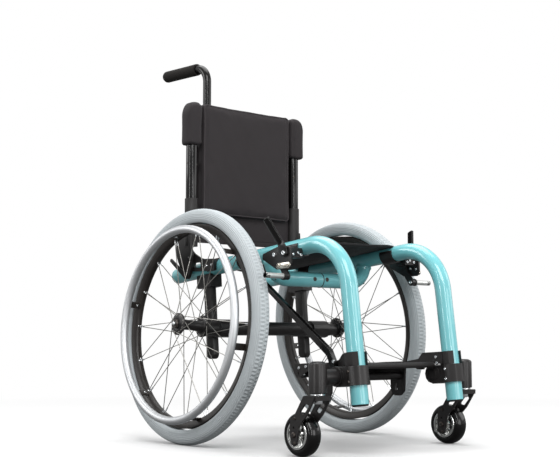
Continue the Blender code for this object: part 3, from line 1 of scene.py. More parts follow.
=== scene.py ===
import math
import bmesh
import bpy
import numpy as np
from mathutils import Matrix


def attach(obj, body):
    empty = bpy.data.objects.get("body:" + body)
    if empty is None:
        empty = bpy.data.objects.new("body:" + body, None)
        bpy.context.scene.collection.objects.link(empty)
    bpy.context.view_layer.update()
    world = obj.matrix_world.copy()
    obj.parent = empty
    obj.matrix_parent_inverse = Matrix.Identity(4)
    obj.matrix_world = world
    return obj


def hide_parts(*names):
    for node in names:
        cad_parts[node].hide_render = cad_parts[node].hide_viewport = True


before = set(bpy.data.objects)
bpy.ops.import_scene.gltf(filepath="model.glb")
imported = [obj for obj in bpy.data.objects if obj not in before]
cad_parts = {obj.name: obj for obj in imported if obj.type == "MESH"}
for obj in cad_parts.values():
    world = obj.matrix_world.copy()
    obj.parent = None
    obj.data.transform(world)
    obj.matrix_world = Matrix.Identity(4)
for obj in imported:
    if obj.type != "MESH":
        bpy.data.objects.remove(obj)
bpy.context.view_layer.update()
print("frame loaded:", len(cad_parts), "nodes")

# lengths are metres, angles in the dictionaries are degrees; +X is the rider's left, -Y is forward, +Z is up
behind = 0.0700  # the rear axle lies this far behind the middle of the chair
sides = {"right": -1, "left": 1}


# shapes as grids of points

def unit(vectors):
    # each vector divided by its own length
    return vectors / np.linalg.norm(vectors, axis=-1, keepdims=True)


def crossWays(axis):
    # two directions square to an axis and to each other
    axis = unit(np.asarray(axis, float))
    guide = np.array((0.0, 1.0, 0.0)) if abs(axis[1]) < 0.9 else np.array((1.0, 0.0, 0.0))
    first = unit(np.cross(guide, axis))
    return axis, first, np.cross(axis, first)


def shell(points, closeRows=False, caps=()):
    # a grid of points (rows, columns, 3) joined by quads, each row closed; a cap is one face over row 0 or the last row
    rows, columns = points.shape[:2]
    row = np.arange(rows if closeRows else rows - 1)
    column = np.arange(columns)
    row, column = np.meshgrid(row, column, indexing="ij")
    nextRow, nextColumn = (row + 1) % rows, (column + 1) % columns
    quads = np.stack([row * columns + column, row * columns + nextColumn,
                      nextRow * columns + nextColumn, nextRow * columns + column], -1).reshape(-1, 4)
    faces = quads.tolist()
    for cap in caps:
        start = 0 if cap == 0 else (rows - 1) * columns
        faces.append(list(range(start, start + columns)))
    return points.reshape(-1, 3), faces


def turned(profile, origin, axis, steps, closed=False, sixSided=()):
    # a profile of (radius, height) turned about an axis: origin + axis*height + radius*(first*cos + second*sin);
    # the rows named in sixSided have a hexagon's radius, apothem / cos of the angle from the flat's middle
    axis, first, second = crossWays(axis)
    profile = np.asarray(profile, float)
    angle = np.arange(steps) * 2 * np.pi / steps
    flats = np.ones((len(profile), steps))
    for index in sixSided:
        flats[index] = math.cos(math.pi / 6) / np.cos((angle % (np.pi / 3)) - np.pi / 6)
    radius = profile[:, 0, None] * flats
    points = (np.asarray(origin, float) + profile[:, 1, None, None] * axis
              + (radius * np.cos(angle))[..., None] * first + (radius * np.sin(angle))[..., None] * second)
    return shell(points, closeRows=closed)


def rod(start, end, radius, edge=0.0008, steps=40):
    # a straight round bar with eased edges: a rectangle with cut corners turned about the line from start to end
    start, end = np.asarray(start, float), np.asarray(end, float)
    length = np.linalg.norm(end - start)
    ease = edge * (1 - math.sqrt(0.5))
    profile = [(0, 0), (radius - edge, 0), (radius - ease, ease), (radius, edge), (radius, length - edge),
               (radius - ease, length - ease), (radius - edge, length), (0, length)]
    return turned(profile, start, end - start, steps)


def cornerArc(before, corner, after, radius, steps):
    # the arc that rounds a corner off: centre + (first*sin((1-t)*sweep) + last*sin(t*sweep)) / sin(sweep)
    back, ahead = unit(before - corner), unit(after - corner)
    half = math.acos(np.clip(back @ ahead, -1, 1)) / 2
    centre = corner + unit(back + ahead) * radius / math.sin(half)
    first = corner + back * radius / math.tan(half) - centre
    last = corner + ahead * radius / math.tan(half) - centre
    sweep = math.pi - 2 * half
    share = np.linspace(0, 1, steps)[:, None]
    return centre + (first * np.sin((1 - share) * sweep) + last * np.sin(share * sweep)) / math.sin(sweep)


def softPath(corners, radii, steps):
    # a path of straight runs with a round bend at each inner corner
    corners = [np.asarray(corner, float) for corner in corners]
    result = [corners[0][None]]
    for before, corner, after, radius in zip(corners, corners[1:], corners[2:], radii):
        result.append(cornerArc(before, corner, after, radius, steps))
    result.append(corners[-1][None])
    return np.concatenate(result)


def swept(path, radius, flat, steps, power=2.0, wide=1.0, closed=False, ends=0.0):
    # a section carried along a path that lies in the plane square to flat: the section is the superellipse
    # |u/(wide*r)|^power + |v/r|^power = 1, u along flat; ends rounds both ends off over that length
    path = np.asarray(path, float)
    radius = np.full(len(path), radius, float) if np.isscalar(radius) else np.asarray(radius, float)
    if closed:
        tangent = unit(np.roll(path, -1, 0) - np.roll(path, 1, 0))
    else:
        tangent = unit(np.gradient(path, axis=0))
    if ends and not closed:
        turn = np.linspace(0, np.pi / 2, 7)
        head = path[0] - tangent[0] * ends * np.cos(turn)[:-1, None] + tangent[0] * ends
        tail = path[-1] + tangent[-1] * ends * np.sin(turn)[1:, None] - tangent[-1] * ends
        shrink = np.sqrt(np.maximum(0, 1 - np.cos(turn[:-1]) ** 2))
        grow = np.cos(turn[1:])
        keep = slice(1, -1)
        path = np.concatenate([head, (path[0] + tangent[0] * ends)[None], path[keep],
                               (path[-1] - tangent[-1] * ends)[None], tail])
        tangent = np.concatenate([np.repeat(tangent[:1], 7, 0), tangent[keep], np.repeat(tangent[-1:], 7, 0)])
        inset = ends * 0.999
        first, last = radius[0], radius[-1]
        radius = np.concatenate([first - inset + inset * shrink, [first], radius[keep], [last],
                                 last - inset + inset * grow])
    across = np.broadcast_to(unit(np.asarray(flat, float)), path.shape)
    up = unit(np.cross(tangent, across))
    angle = np.arange(steps) * 2 * np.pi / steps
    u = np.sign(np.cos(angle)) * np.abs(np.cos(angle)) ** (2 / power) * wide
    v = np.sign(np.sin(angle)) * np.abs(np.sin(angle)) ** (2 / power)
    section = across[:, None] * u[None, :, None] + up[:, None] * v[None, :, None]
    points = path[:, None] + radius[:, None, None] * section
    return shell(points, closeRows=closed, caps=() if closed else (0, -1))


def screw(place, axis, radius, tall):
    # a low round head with a hexagon socket, its foot sunk 1 mm into what it holds
    axis = unit(np.asarray(axis, float))
    profile = [(0, -0.001), (radius, -0.001), (radius, tall * 0.55), (radius * 0.93, tall * 0.84),
               (radius * 0.78, tall), (radius * 0.50, tall), (radius * 0.46, tall * 0.92),
               (radius * 0.44, tall * 0.30), (0, tall * 0.25)]
    return turned(profile, place, axis, 24, sixSided=(5, 6, 7))


def rods(starts, ends, radii, steps):
    # many thin straight bars at once: each is a row of rings of its own radius from start to end
    starts, ends = np.asarray(starts, float), np.asarray(ends, float)
    axis = unit(ends - starts)
    guide = np.where(np.abs(axis[:, 1:2]) < 0.9, [[0.0, 1.0, 0.0]], [[1.0, 0.0, 0.0]])
    first = unit(np.cross(guide, axis))
    second = np.cross(axis, first)
    angle = np.arange(steps) * 2 * np.pi / steps
    ring = first[:, None] * np.cos(angle)[None, :, None] + second[:, None] * np.sin(angle)[None, :, None]
    share, radius = np.asarray(radii, float).T
    centre = starts[:, None] + (ends - starts)[:, None] * share[None, :, None]
    points = centre[:, :, None] + ring[:, None] * radius[None, :, None, None]
    return [shell(bar, caps=(0, -1)) for bar in points]


def makeObject(name, shells, sharp=32):
    # joins shells into one mesh, closes poles and turns the faces outward
    points, faces, count = [], [], 0
    for corners, loops in shells:
        points.append(corners)
        faces += [[index + count for index in loop] for loop in loops]
        count += len(corners)
    mesh = bpy.data.meshes.new(name)
    mesh.from_pydata(np.concatenate(points), [], faces)
    bm = bmesh.new()
    bm.from_mesh(mesh)
    bmesh.ops.remove_doubles(bm, verts=bm.verts, dist=1e-6)
    bmesh.ops.dissolve_degenerate(bm, edges=bm.edges, dist=1e-7)
    bmesh.ops.recalc_face_normals(bm, faces=bm.faces)
    bm.to_mesh(mesh)
    bm.free()
    mesh.shade_smooth()
    mesh.set_sharp_from_angle(angle=math.radians(sharp))
    made = bpy.data.objects.new(name, mesh)
    bpy.context.scene.collection.objects.link(made)
    return made


def softOutline(corners, radii, steps=6):
    # a closed outline in (y, z) with a round arc at each corner
    corners = np.asarray(corners, float)
    radii = np.broadcast_to(np.asarray(radii, float), len(corners))
    result = []
    for before, corner, after, radius in zip(np.roll(corners, 1, 0), corners, np.roll(corners, -1, 0), radii):
        result.append(cornerArc(before, corner, after, radius, steps))
    return np.concatenate(result)


def plate(outline, low, high, edge):
    # an outline in (y, z) carried along X from low to high; both rims are eased by an inset of the outline
    ahead, before = np.roll(outline, -1, 0) - outline, outline - np.roll(outline, 1, 0)
    normal = unit(np.stack([ahead[:, 1] + before[:, 1], -ahead[:, 0] - before[:, 0]], 1))
    area = np.sum(outline[:, 0] * np.roll(outline[:, 1], -1) - outline[:, 1] * np.roll(outline[:, 0], -1))
    inward = -normal * np.sign(area)
    rows = [(low, edge), (low + edge * 0.3, edge * 0.3), (low + edge, 0),
            (high - edge, 0), (high - edge * 0.3, edge * 0.3), (high, edge)]
    points = np.stack([np.column_stack([np.full(len(outline), x), outline + inward * inset]) for x, inset in rows])
    return shell(points, caps=(0, -1))


def sidePlate(side, outline, near, far, edge):
    # the same plate on either side of the chair; near and far are distances from its middle
    return plate(outline, *sorted((side * near, side * far)), edge)


def roundedRing(halfX, halfY, radius, inset=0.0, corner=9, longRun=44, shortRun=8):
    # a rectangle with round corners, its points spread the same way whatever the inset
    halfX, halfY, radius = halfX - inset, halfY - inset, max(radius - inset, 1e-5)
    turn = np.linspace(0, np.pi / 2, corner)
    parts = []
    for index, (x, y) in enumerate(((1, 1), (-1, 1), (-1, -1), (1, -1))):
        angle = turn + index * np.pi / 2
        parts.append(np.stack([x * (halfX - radius) + radius * np.cos(angle),
                               y * (halfY - radius) + radius * np.sin(angle)], 1))
    ring = []
    for index, arc in enumerate(parts):
        following = parts[(index + 1) % 4]
        run = longRun if index % 2 == 0 else shortRun
        share = np.linspace(0, 1, run + 1)[1:-1, None]
        ring += [arc, arc[-1] * (1 - share) + following[0] * share]
    return np.concatenate(ring)


def boxCushion(place, halfX, halfY, low, high, radius, topRadius, bottomRadius, rows=40, **counts):
    # rounded rectangles stacked in height; each end is rounded over by insetting the ring along a quarter circle
    turn = np.linspace(0, np.pi / 2, 8)
    heights = np.concatenate([low + bottomRadius * (1 - np.cos(turn)),
                              np.linspace(low + bottomRadius, high - topRadius, rows)[1:-1],
                              high - topRadius * (1 - np.sin(turn))])
    insets = np.concatenate([bottomRadius * (1 - np.sin(turn)), np.zeros(rows - 2), topRadius * (1 - np.cos(turn))])
    rings = []
    for height, inset in zip(heights, insets):
        ring = roundedRing(halfX, halfY, radius, inset, **counts)
        rings.append(np.column_stack([ring, np.full(len(ring), height)]))
    return shell(np.stack(rings) + np.asarray(place, float), caps=(0, -1))


# the cover's cloth: firm along its threads, easy to bend, with air inside and no weight
coverCloth = {"quality": 6, "mass": 0.3, "tension_stiffness": 20, "compression_stiffness": 20, "shear_stiffness": 8,
              "bending_stiffness": 0.6, "use_pressure": True}


def puffed(name, shells, voxel, pressure, cap, shaped):
    # swells a closed form like a filled cover: even voxels, air pressure inside a cloth, each point's move capped
    # as cap * tanh(move / cap); then one subdivision, and the folds and seams that shaped() gives as offsets
    rough = makeObject(name + "_core", shells)
    remesh = rough.modifiers.new("Voxels", "REMESH")
    remesh.mode = "VOXEL"
    remesh.voxel_size = voxel
    remesh.use_smooth_shade = True
    tree = bpy.context.evaluated_depsgraph_get()
    mesh = bpy.data.meshes.new_from_object(rough.evaluated_get(tree))
    bpy.data.objects.remove(rough)
    made = bpy.data.objects.new(name, mesh)
    bpy.context.scene.collection.objects.link(made)
    rest = np.empty(len(mesh.vertices) * 3)
    mesh.vertices.foreach_get("co", rest)
    cloth = made.modifiers.new("Cloth", "CLOTH")
    for key, value in coverCloth.items():
        setattr(cloth.settings, key, value)
    cloth.settings.uniform_pressure_force = pressure
    cloth.settings.effector_weights.gravity = 0
    cloth.collision_settings.use_collision = False
    for step in range(1, 21):
        bpy.context.scene.frame_set(step)
    tree = bpy.context.evaluated_depsgraph_get()
    swollen = bpy.data.meshes.new_from_object(made.evaluated_get(tree))
    moved = np.empty(len(mesh.vertices) * 3)
    swollen.vertices.foreach_get("co", moved)
    made.modifiers.remove(cloth)
    bpy.context.scene.frame_set(1)
    move = (moved - rest).reshape(-1, 3)
    reach = np.linalg.norm(move, axis=1, keepdims=True)
    move = move * (cap * np.tanh(reach / cap) / np.maximum(reach, 1e-9))
    mesh.vertices.foreach_set("co", (rest.reshape(-1, 3) + move).ravel())
    bpy.data.meshes.remove(swollen)
    print(name, "swelled by up to", round(float(reach.max()) * 1000, 1), "mm")
    finer = made.modifiers.new("Finer", "SUBSURF")
    finer.levels = finer.render_levels = 1
    tree = bpy.context.evaluated_depsgraph_get()
    fine = bpy.data.meshes.new_from_object(made.evaluated_get(tree))
    made.modifiers.remove(finer)
    made.data = fine
    points, normals = np.empty(len(fine.vertices) * 3), np.empty(len(fine.vertices) * 3)
    fine.vertices.foreach_get("co", points)
    fine.vertex_normals.foreach_get("vector", normals)
    points, normals = points.reshape(-1, 3), normals.reshape(-1, 3)
    fine.vertices.foreach_set("co", (points + shaped(points, normals)).ravel())
    fine.shade_smooth()
    return made


def dress(made, material, body, stands=()):
    # finish, body, CAD nodes and finish slot of a piece that already has its mesh
    made.data.materials.clear()
    made.data.materials.append(material)
    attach(made, body)
    if stands:
        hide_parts(*stands)
    return made


def addPiece(name, shells, material, body, stands=(), sharp=32):
    # a finished piece from its shells
    return dress(makeObject(name, shells, sharp), material, body, stands)


def easedCopy(node, material, body, width):
    # a copy of a CAD plate with its doubles merged, flat faces joined and every edge eased like a machined one
    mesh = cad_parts[node].data.copy()
    mesh.name = node + "_eased"
    bm = bmesh.new()
    bm.from_mesh(mesh)
    bmesh.ops.remove_doubles(bm, verts=bm.verts, dist=1e-6)
    bmesh.ops.dissolve_limit(bm, angle_limit=math.radians(0.6), verts=bm.verts, edges=bm.edges)
    bm.to_mesh(mesh)
    bm.free()
    mesh.materials.clear()
    mesh.materials.append(material)
    mesh.shade_smooth()
    mesh.set_sharp_from_angle(angle=math.radians(30))
    made = bpy.data.objects.new(node + "_eased", mesh)
    bpy.context.scene.collection.objects.link(made)
    bevel = made.modifiers.new("Eased edges", "BEVEL")
    bevel.width = width
    bevel.segments = 2
    bevel.limit_method = "ANGLE"
    bevel.angle_limit = math.radians(38)
    bevel.harden_normals = True
    bevel.use_clamp_overlap = True
    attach(made, body)
    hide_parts(node)
    return made


# finishes

def colour(text):
    # sRGB hex to linear red, green, blue, alpha
    values = np.array([int(text[index:index + 2], 16) / 255 for index in (1, 3, 5)])
    linear = np.where(values <= 0.04045, values / 12.92, ((values + 0.055) / 1.055) ** 2.4)
    return (*linear.tolist(), 1.0)


def addNode(tree, kind, settings=None, links=None):
    # one node: a setting in small letters is the node's own, a number or a capital is a socket
    node = tree.nodes.new(kind)
    for key, value in (settings or {}).items():
        if isinstance(key, str) and not key[0].isupper():
            setattr(node, key, value)
        else:
            node.inputs[key].default_value = value
    for socket, source in (links or {}).items():
        tree.links.new(source, node.inputs[socket])
    return node


def newFinish(name, base, roughness, metallic=0.0, coat=0.0, sheen=0.0, ior=1.5):
    # a finish with its even values on the shader's own sockets
    material = bpy.data.materials.new(name)
    material.use_nodes = True
    shader = material.node_tree.nodes["Principled BSDF"]
    shader.inputs["Base Color"].default_value = colour(base)
    shader.inputs["Roughness"].default_value = roughness
    shader.inputs["Metallic"].default_value = metallic
    shader.inputs["Coat Weight"].default_value = coat
    shader.inputs["Coat Roughness"].default_value = 0.05
    shader.inputs["Sheen Weight"].default_value = sheen
    shader.inputs["Sheen Roughness"].default_value = 0.4
    if not metallic:
        shader.inputs["IOR"].default_value = ior
    return material, material.node_tree, shader


def grainFinish(name, base, darker, roughness, grainMm, bumpMm, metallic=0.0, coat=0.0, cloudMm=60.0, spread=0.08,
                ior=1.5):
    # a surface with a fine grain in its bump and broad, faint clouds in its colour and gloss; both are noise on
    # Object coordinates, 1000 / size in mm to the metre
    material, tree, shader = newFinish(name, base, roughness, metallic, coat, ior=ior)
    place = addNode(tree, "ShaderNodeTexCoord").outputs["Object"]
    clouds = addNode(tree, "ShaderNodeTexNoise", {"Scale": 1000 / cloudMm, "Detail": 4.0, "Roughness": 0.6},
                     {"Vector": place}).outputs["Fac"]
    grain = addNode(tree, "ShaderNodeTexNoise", {"Scale": 1000 / grainMm, "Detail": 3.0, "Roughness": 0.6},
                    {"Vector": place}).outputs["Fac"]
    mixed = addNode(tree, "ShaderNodeMix", {"data_type": "RGBA", 6: colour(darker), 7: colour(base)}, {0: clouds})
    tree.links.new(mixed.outputs[2], shader.inputs["Base Color"])
    gloss = addNode(tree, "ShaderNodeMapRange", {"To Min": roughness - spread, "To Max": roughness + spread},
                    {"Value": clouds})
    tree.links.new(gloss.outputs["Result"], shader.inputs["Roughness"])
    relief = addNode(tree, "ShaderNodeBump", {"Strength": 1.0, "Distance": bumpMm / 1000}, {"Height": grain})
    tree.links.new(relief.outputs["Normal"], shader.inputs["Normal"])
    return material


def clothFinish(name, base, darker, threadMm, bumpMm):
    # plain-weave nylon: two crossed sets of threads, over and under in turn, height = sin(across) * sin(along) on
    # Object coordinates, with faint clouds and flecks in the colour
    material, tree, shader = newFinish(name, base, 0.78, sheen=0.06, ior=1.4)
    place = addNode(tree, "ShaderNodeTexCoord").outputs["Object"]
    parts = addNode(tree, "ShaderNodeSeparateXYZ", {}, {"Vector": place}).outputs
    turn = 2 * math.pi * 1000 / threadMm / 2
    across = addNode(tree, "ShaderNodeMath", {"operation": "ADD"}, {0: parts["X"], 1: parts["Y"]}).outputs[0]
    along = addNode(tree, "ShaderNodeMath", {"operation": "ADD"}, {0: parts["Z"], 1: parts["Y"]}).outputs[0]
    waves = []
    for source in (across, along):
        spaced = addNode(tree, "ShaderNodeMath", {"operation": "MULTIPLY", 1: turn}, {0: source}).outputs[0]
        waves.append(addNode(tree, "ShaderNodeMath", {"operation": "SINE"}, {0: spaced}).outputs[0])
    weave = addNode(tree, "ShaderNodeMath", {"operation": "MULTIPLY"}, {0: waves[0], 1: waves[1]}).outputs[0]
    clouds = addNode(tree, "ShaderNodeTexNoise", {"Scale": 22.0, "Detail": 5.0, "Roughness": 0.65},
                     {"Vector": place}).outputs["Fac"]
    fleck = addNode(tree, "ShaderNodeTexNoise", {"Scale": 900.0, "Detail": 2.0}, {"Vector": place}).outputs["Fac"]
    shade = addNode(tree, "ShaderNodeMath", {"operation": "MULTIPLY_ADD", 1: 0.55, 2: 0.0}, {0: clouds}).outputs[0]
    shade = addNode(tree, "ShaderNodeMath", {"operation": "MULTIPLY_ADD", 1: 0.45}, {0: fleck, 2: shade}).outputs[0]
    mixed = addNode(tree, "ShaderNodeMix", {"data_type": "RGBA", 6: colour(darker), 7: colour(base)}, {0: shade})
    tree.links.new(mixed.outputs[2], shader.inputs["Base Color"])
    relief = addNode(tree, "ShaderNodeBump", {"Strength": 0.8, "Distance": bumpMm / 1000}, {"Height": weave})
    tree.links.new(relief.outputs["Normal"], shader.inputs["Normal"])
    return material


# powder coat: hard gloss over metal with a faint orange peel, 1.6 mm from crest to crest
aquaPowder = grainFinish("aqua_powder_coat", "#86D9DF", "#80D4DB", 0.20, 1.6, 0.008, coat=0.7, spread=0.03)
# type II black anodising: deep black, satin from the bead blast under it
blackAnodised = grainFinish("black_anodised_aluminium", "#2C2A2A", "#232121", 0.34, 0.5, 0.010, spread=0.06, ior=1.42)
# stove enamel on the round tubes: black, glossy, reflects the lamps in long lines
blackEnamel = grainFinish("black_stove_enamel", "#0F0E0E", "#0A0909", 0.14, 2.0, 0.001, spread=0.02, ior=1.42)
# glass-filled nylon, moulded: dull, with a fine spark-eroded grain
blackNylon = grainFinish("moulded_black_nylon", "#282626", "#1F1D1D", 0.48, 0.6, 0.030, spread=0.06, ior=1.42)
# grey rubber that leaves no marks: chalky, slightly mottled
greyRubber = grainFinish("grey_tyre_rubber", "#CBD2D5", "#BFC6C9", 0.60, 0.8, 0.030, cloudMm=90, spread=0.06, ior=1.4)
# cast polyurethane: dense and shiny
blackUrethane = grainFinish("black_cast_urethane", "#0B0A0A", "#070707", 0.16, 1.5, 0.006, spread=0.04, ior=1.45)
# clear anodising over a fine bead blast: pale and silky, with broad soft reflections
satinAluminium = grainFinish("clear_anodised_aluminium", "#D9DBDD", "#CFD1D3", 0.50, 0.5, 0.004, metallic=1.0,
                             spread=0.05)
# bright zinc or chrome on steel screws
brightSteel = grainFinish("bright_plated_steel", "#F0F3F5", "#E2E5E7", 0.24, 0.8, 0.004, metallic=1.0, spread=0.04)
# nickel plate on the lock's link, warmer than zinc
nickelPlate = grainFinish("nickel_plated_steel", "#D6D0C6", "#C4BDB2", 0.22, 0.8, 0.004, metallic=1.0, spread=0.05)
# drawn stainless wire
stainlessWire = grainFinish("stainless_spoke_wire", "#A3A19C", "#8E8C88", 0.34, 0.5, 0.004, metallic=1.0, spread=0.06)
# polished cast aluminium in the caster hubs
polishedAluminium = grainFinish("polished_aluminium", "#EDEEEC", "#DCDDDB", 0.17, 1.2, 0.010, metallic=1.0, spread=0.05)
# zinc-flake coat on the lock's shoe: nearly white, silky
shoeWhite = grainFinish("zinc_flake_steel", "#E9EAE8", "#D6D7D4", 0.30, 0.7, 0.006, metallic=0.6, spread=0.05)
# dark oxide screws
darkSteel = grainFinish("dark_oxide_steel", "#5A5551", "#47423F", 0.30, 0.6, 0.006, metallic=0.9, spread=0.06)
# black anodised hoop: a little brown where the light meets it
blackHoop = grainFinish("black_anodised_hoop", "#322E2B", "#292523", 0.34, 0.5, 0.006, spread=0.05, ior=1.45)
# nylon pack cloth: threads of 0.9 mm are drawn at 1.6 mm so that they show
nylonCloth = clothFinish("black_nylon_cloth", "#322D2F", "#282426", 1.6, 0.10)
# the seat's cloth is the back's nylon drawn darker: painted shade for its underside, which faces the floor
seatClothPaintedShade = clothFinish("black_seat_cloth_painted_shade", "#17171A", "#111113", 1.6, 0.08)
# the tape of the piping is woven closer and is a little lighter: on the rear edge that is the piping's own tone, on the
# front edge it is a painted highlight along the pad's edge
pipingTapeAndEdgeHighlight = clothFinish("black_piping_tape_and_edge_highlight", "#433E40", "#383335", 0.8, 0.04)
# closed-cell foam sleeve: dull, with fine open pores
foamRubber = grainFinish("closed_cell_foam", "#272422", "#1D1B19", 0.80, 0.7, 0.080, spread=0.08, ior=1.3)
print("finishes made")


# frame: one bent tube a side, with half of the cross tube

frameTube = {"radius": 0.0190, "halfWidth": 0.1500, "railEnd": 0.2050, "cornerY": -0.4236, "cornerZ": 0.4651,
             "bend": 0.110, "legEnd": 0.1090, "railSlope": 5.12, "legSlope": 7.1}
crossTube = {"radius": 0.0180, "y": -0.1750, "z": 0.3880, "bend": 0.045, "seam": 0.0007, "bead": 0.0022,
             "beadSpread": 0.004}


def railZ(y):
    # height of the rail's middle line, which falls towards the rear
    return frameTube["cornerZ"] - (y - frameTube["cornerY"]) * math.tan(math.radians(frameTube["railSlope"]))


def legY(z):
    # place of the leg's middle line, which runs back towards its foot
    return frameTube["cornerY"] + (z - frameTube["cornerZ"]) * math.tan(math.radians(frameTube["legSlope"]))


def at(x, y, z):
    # the part's own lengths start at the axle; the frame's Y at the middle of the chair
    return np.array((x, y + behind, z))


def makeSideFrame(word, side):
    # a circle carried along rail, bend and leg, and another along half of the cross tube, where it swells into
    # the weld bead under the rail: radius + bead * exp(-((z - foot) / spread)^2)
    x = side * frameTube["halfWidth"]
    corners = [at(x, frameTube["railEnd"], railZ(frameTube["railEnd"])),
               at(x, frameTube["cornerY"], frameTube["cornerZ"]),
               at(x, legY(frameTube["legEnd"]), frameTube["legEnd"])]
    path = softPath(corners, [frameTube["bend"]], 40)
    main = swept(path, frameTube["radius"], (1, 0, 0), 56, ends=0.0008)
    y, z = crossTube["y"], crossTube["z"]
    corners = [at(side * crossTube["seam"], y, z), at(x, y, z), at(x, y, railZ(y))]
    path = softPath(corners, [crossTube["bend"]], 24)
    extra = np.linspace(0, 1, 14)[1:-1, None] * (path[-1] - path[-2]) + path[-2]
    path = np.concatenate([path[:-1], extra, path[-1:]])
    foot = railZ(y) - frameTube["radius"] + 0.001
    upright = np.abs(path[:, 0] - x) < 0.001
    bead = crossTube["bead"] * np.exp(-((path[:, 2] - foot) / crossTube["beadSpread"]) ** 2)
    radius = crossTube["radius"] + bead * upright
    half = swept(path, radius, (0, 1, 0), 48, ends=0.0006)
    addPiece(word + "_frame_tube", [main, half], aquaPowder, "chair", [word + "_side_frame"], sharp=50)


for word, side in sides.items():
    makeSideFrame(word, side)
print("side frames made")


# rear wheels

wheel = {"radius": 0.2800, "halfWidth": 0.0190, "camber": 4.1, "centreX": 0.2525, "seat": 0.2426, "rimHalf": 0.0125,
         "rimInner": 0.2245}
tread = {"power": 2.25, "blocks": 190, "blockTall": 0.0001, "gapDeep": 0.0019, "rowAt": 0.0070, "rowHalf": 0.0044,
         "grooveDeep": 0.0014, "grooveHalf": 0.0011, "ribPitch": 0.0040, "ribDeep": 0.00096, "ribFrom": 0.0125,
         "ribTo": 0.0365}
spokes = {"count": 8, "circle": 0.0208, "radius": 0.0010, "crossing": 67.5, "leading": 0.0042, "trailing": 0.0018}
handrim = {"outer": 0.2348, "tube": 0.0095, "offset": 0.0438, "tabs": 6, "tabPhase": 0.28, "tabThick": 0.0022,
           "tabWide": 3.6, "tabFoot": 0.0012}
hub = {"outerFlange": 0.0370, "innerFlange": -0.0330, "flange": 0.0245, "thick": 0.004, "body": 0.0130,
       "outerEnd": 0.0415, "innerEnd": -0.0400, "axle": 0.00635, "head": 0.0065, "travel": 0.003, "standsOut": 0.004}
wheelZ = wheel["radius"] * math.cos(math.radians(wheel["camber"]))


def wheelAxes(side):
    # centre, the direction at angle 0, +Y, and the axle's outward direction
    lean = math.radians(wheel["camber"])
    outward = np.array((side * math.cos(lean), 0, math.sin(lean)))
    down = np.array((math.sin(lean), 0, -side * math.cos(lean)))
    return np.array((side * wheel["centreX"], behind, wheelZ)), down, np.array((0.0, 1.0, 0.0)), outward


def onWheel(side, radius, angle, height):
    # a point of the leaning wheel: centre + radius*(down*cos + rearward*sin) + height*outward
    centre, first, second, outward = wheelAxes(side)
    radius, angle, height = np.broadcast_arrays(*[np.asarray(value, float) for value in (radius, angle, height)])
    return (centre + (radius * np.cos(angle))[..., None] * first + (radius * np.sin(angle))[..., None] * second
            + height[..., None] * outward)


def wheelTurned(side, profile, steps):
    # a closed profile of (radius, height) turned about the leaning axle
    profile = np.asarray(profile, float)
    angle = np.arange(steps) * 2 * np.pi / steps
    return shell(onWheel(side, profile[:, :1], angle[None], profile[:, 1:]), closeRows=True)


def makeTyre(word, side):
    # section: a superellipse of power 2.25 about the middle of the casing, cut off flat where it sits in the rim;
    # fine ribs run round the shoulders at an even pitch along the section, lift = -deep * (0.5 + 0.5 cos)^2,
    # and two rows of small blocks stand on the crown, half a pitch apart, either side of a middle groove
    steps = tread["blocks"] * 4
    turn = np.linspace(-2.45, 2.45, 130)
    middle = (wheel["radius"] + wheel["seat"]) / 2 - 0.0005
    tall, wide = wheel["radius"] - middle, wheel["halfWidth"]
    power = 2 / tread["power"]
    radius = middle + tall * np.sign(np.cos(turn)) * np.abs(np.cos(turn)) ** power
    height = wide * np.sign(np.sin(turn)) * np.abs(np.sin(turn)) ** power
    angle = np.arange(steps) * 2 * np.pi / steps
    along = np.concatenate([[0], np.cumsum(np.hypot(np.diff(radius), np.diff(height)))])
    fromCrown = np.abs(along - along[-1] / 2)
    outwardR, outwardH = np.cos(turn)[:, None], np.sin(turn)[:, None]
    shoulder = np.clip((fromCrown - tread["ribFrom"]) / 0.0015, 0, 1) * (fromCrown < tread["ribTo"])
    ribs = shoulder * (0.5 + 0.5 * np.cos(fromCrown * 2 * np.pi / tread["ribPitch"])) ** 2
    band = np.exp(-((fromCrown - tread["rowAt"]) / tread["rowHalf"]) ** 6)
    groove = np.exp(-(fromCrown / tread["grooveHalf"]) ** 2)
    beat = np.array((1.0, 1.0, 0.0, 0.0))[np.arange(steps) % 4]
    blocks = np.where(height[:, None] > 0, beat[None], np.roll(beat, 2)[None])
    crown = tread["blockTall"] * blocks - tread["gapDeep"] * (1 - blocks)
    lift = -(tread["ribDeep"] * ribs + tread["grooveDeep"] * groove)[:, None] + band[:, None] * crown
    points = onWheel(side, radius[:, None] + lift * outwardR, angle[None], height[:, None] + lift * outwardH)
    casing = shell(points, closeRows=True)
    addPiece(word + "_tyre_casing", [casing], greyRubber, word + "_wheel", [word + "_tyre"], sharp=70)


def ringTab(side, angle, radius, inner, outer):
    # a flat tab between rim and handrim, a bar of superellipse section along the axle's direction
    centre, first, second, outward = wheelAxes(side)
    spoke = first * math.cos(angle) + second * math.sin(angle)
    tangent = np.cross(outward, spoke)
    path = centre + spoke * radius + outward * np.linspace(inner, outer, 4)[:, None]
    return swept(path, handrim["tabThick"], tangent, 28, power=5.0, wide=handrim["tabWide"], ends=0.0006)


def tabAngle(index):
    # the handrim's tabs stand at even angles from the first
    return 2 * math.pi * (index + handrim["tabPhase"]) / handrim["tabs"]


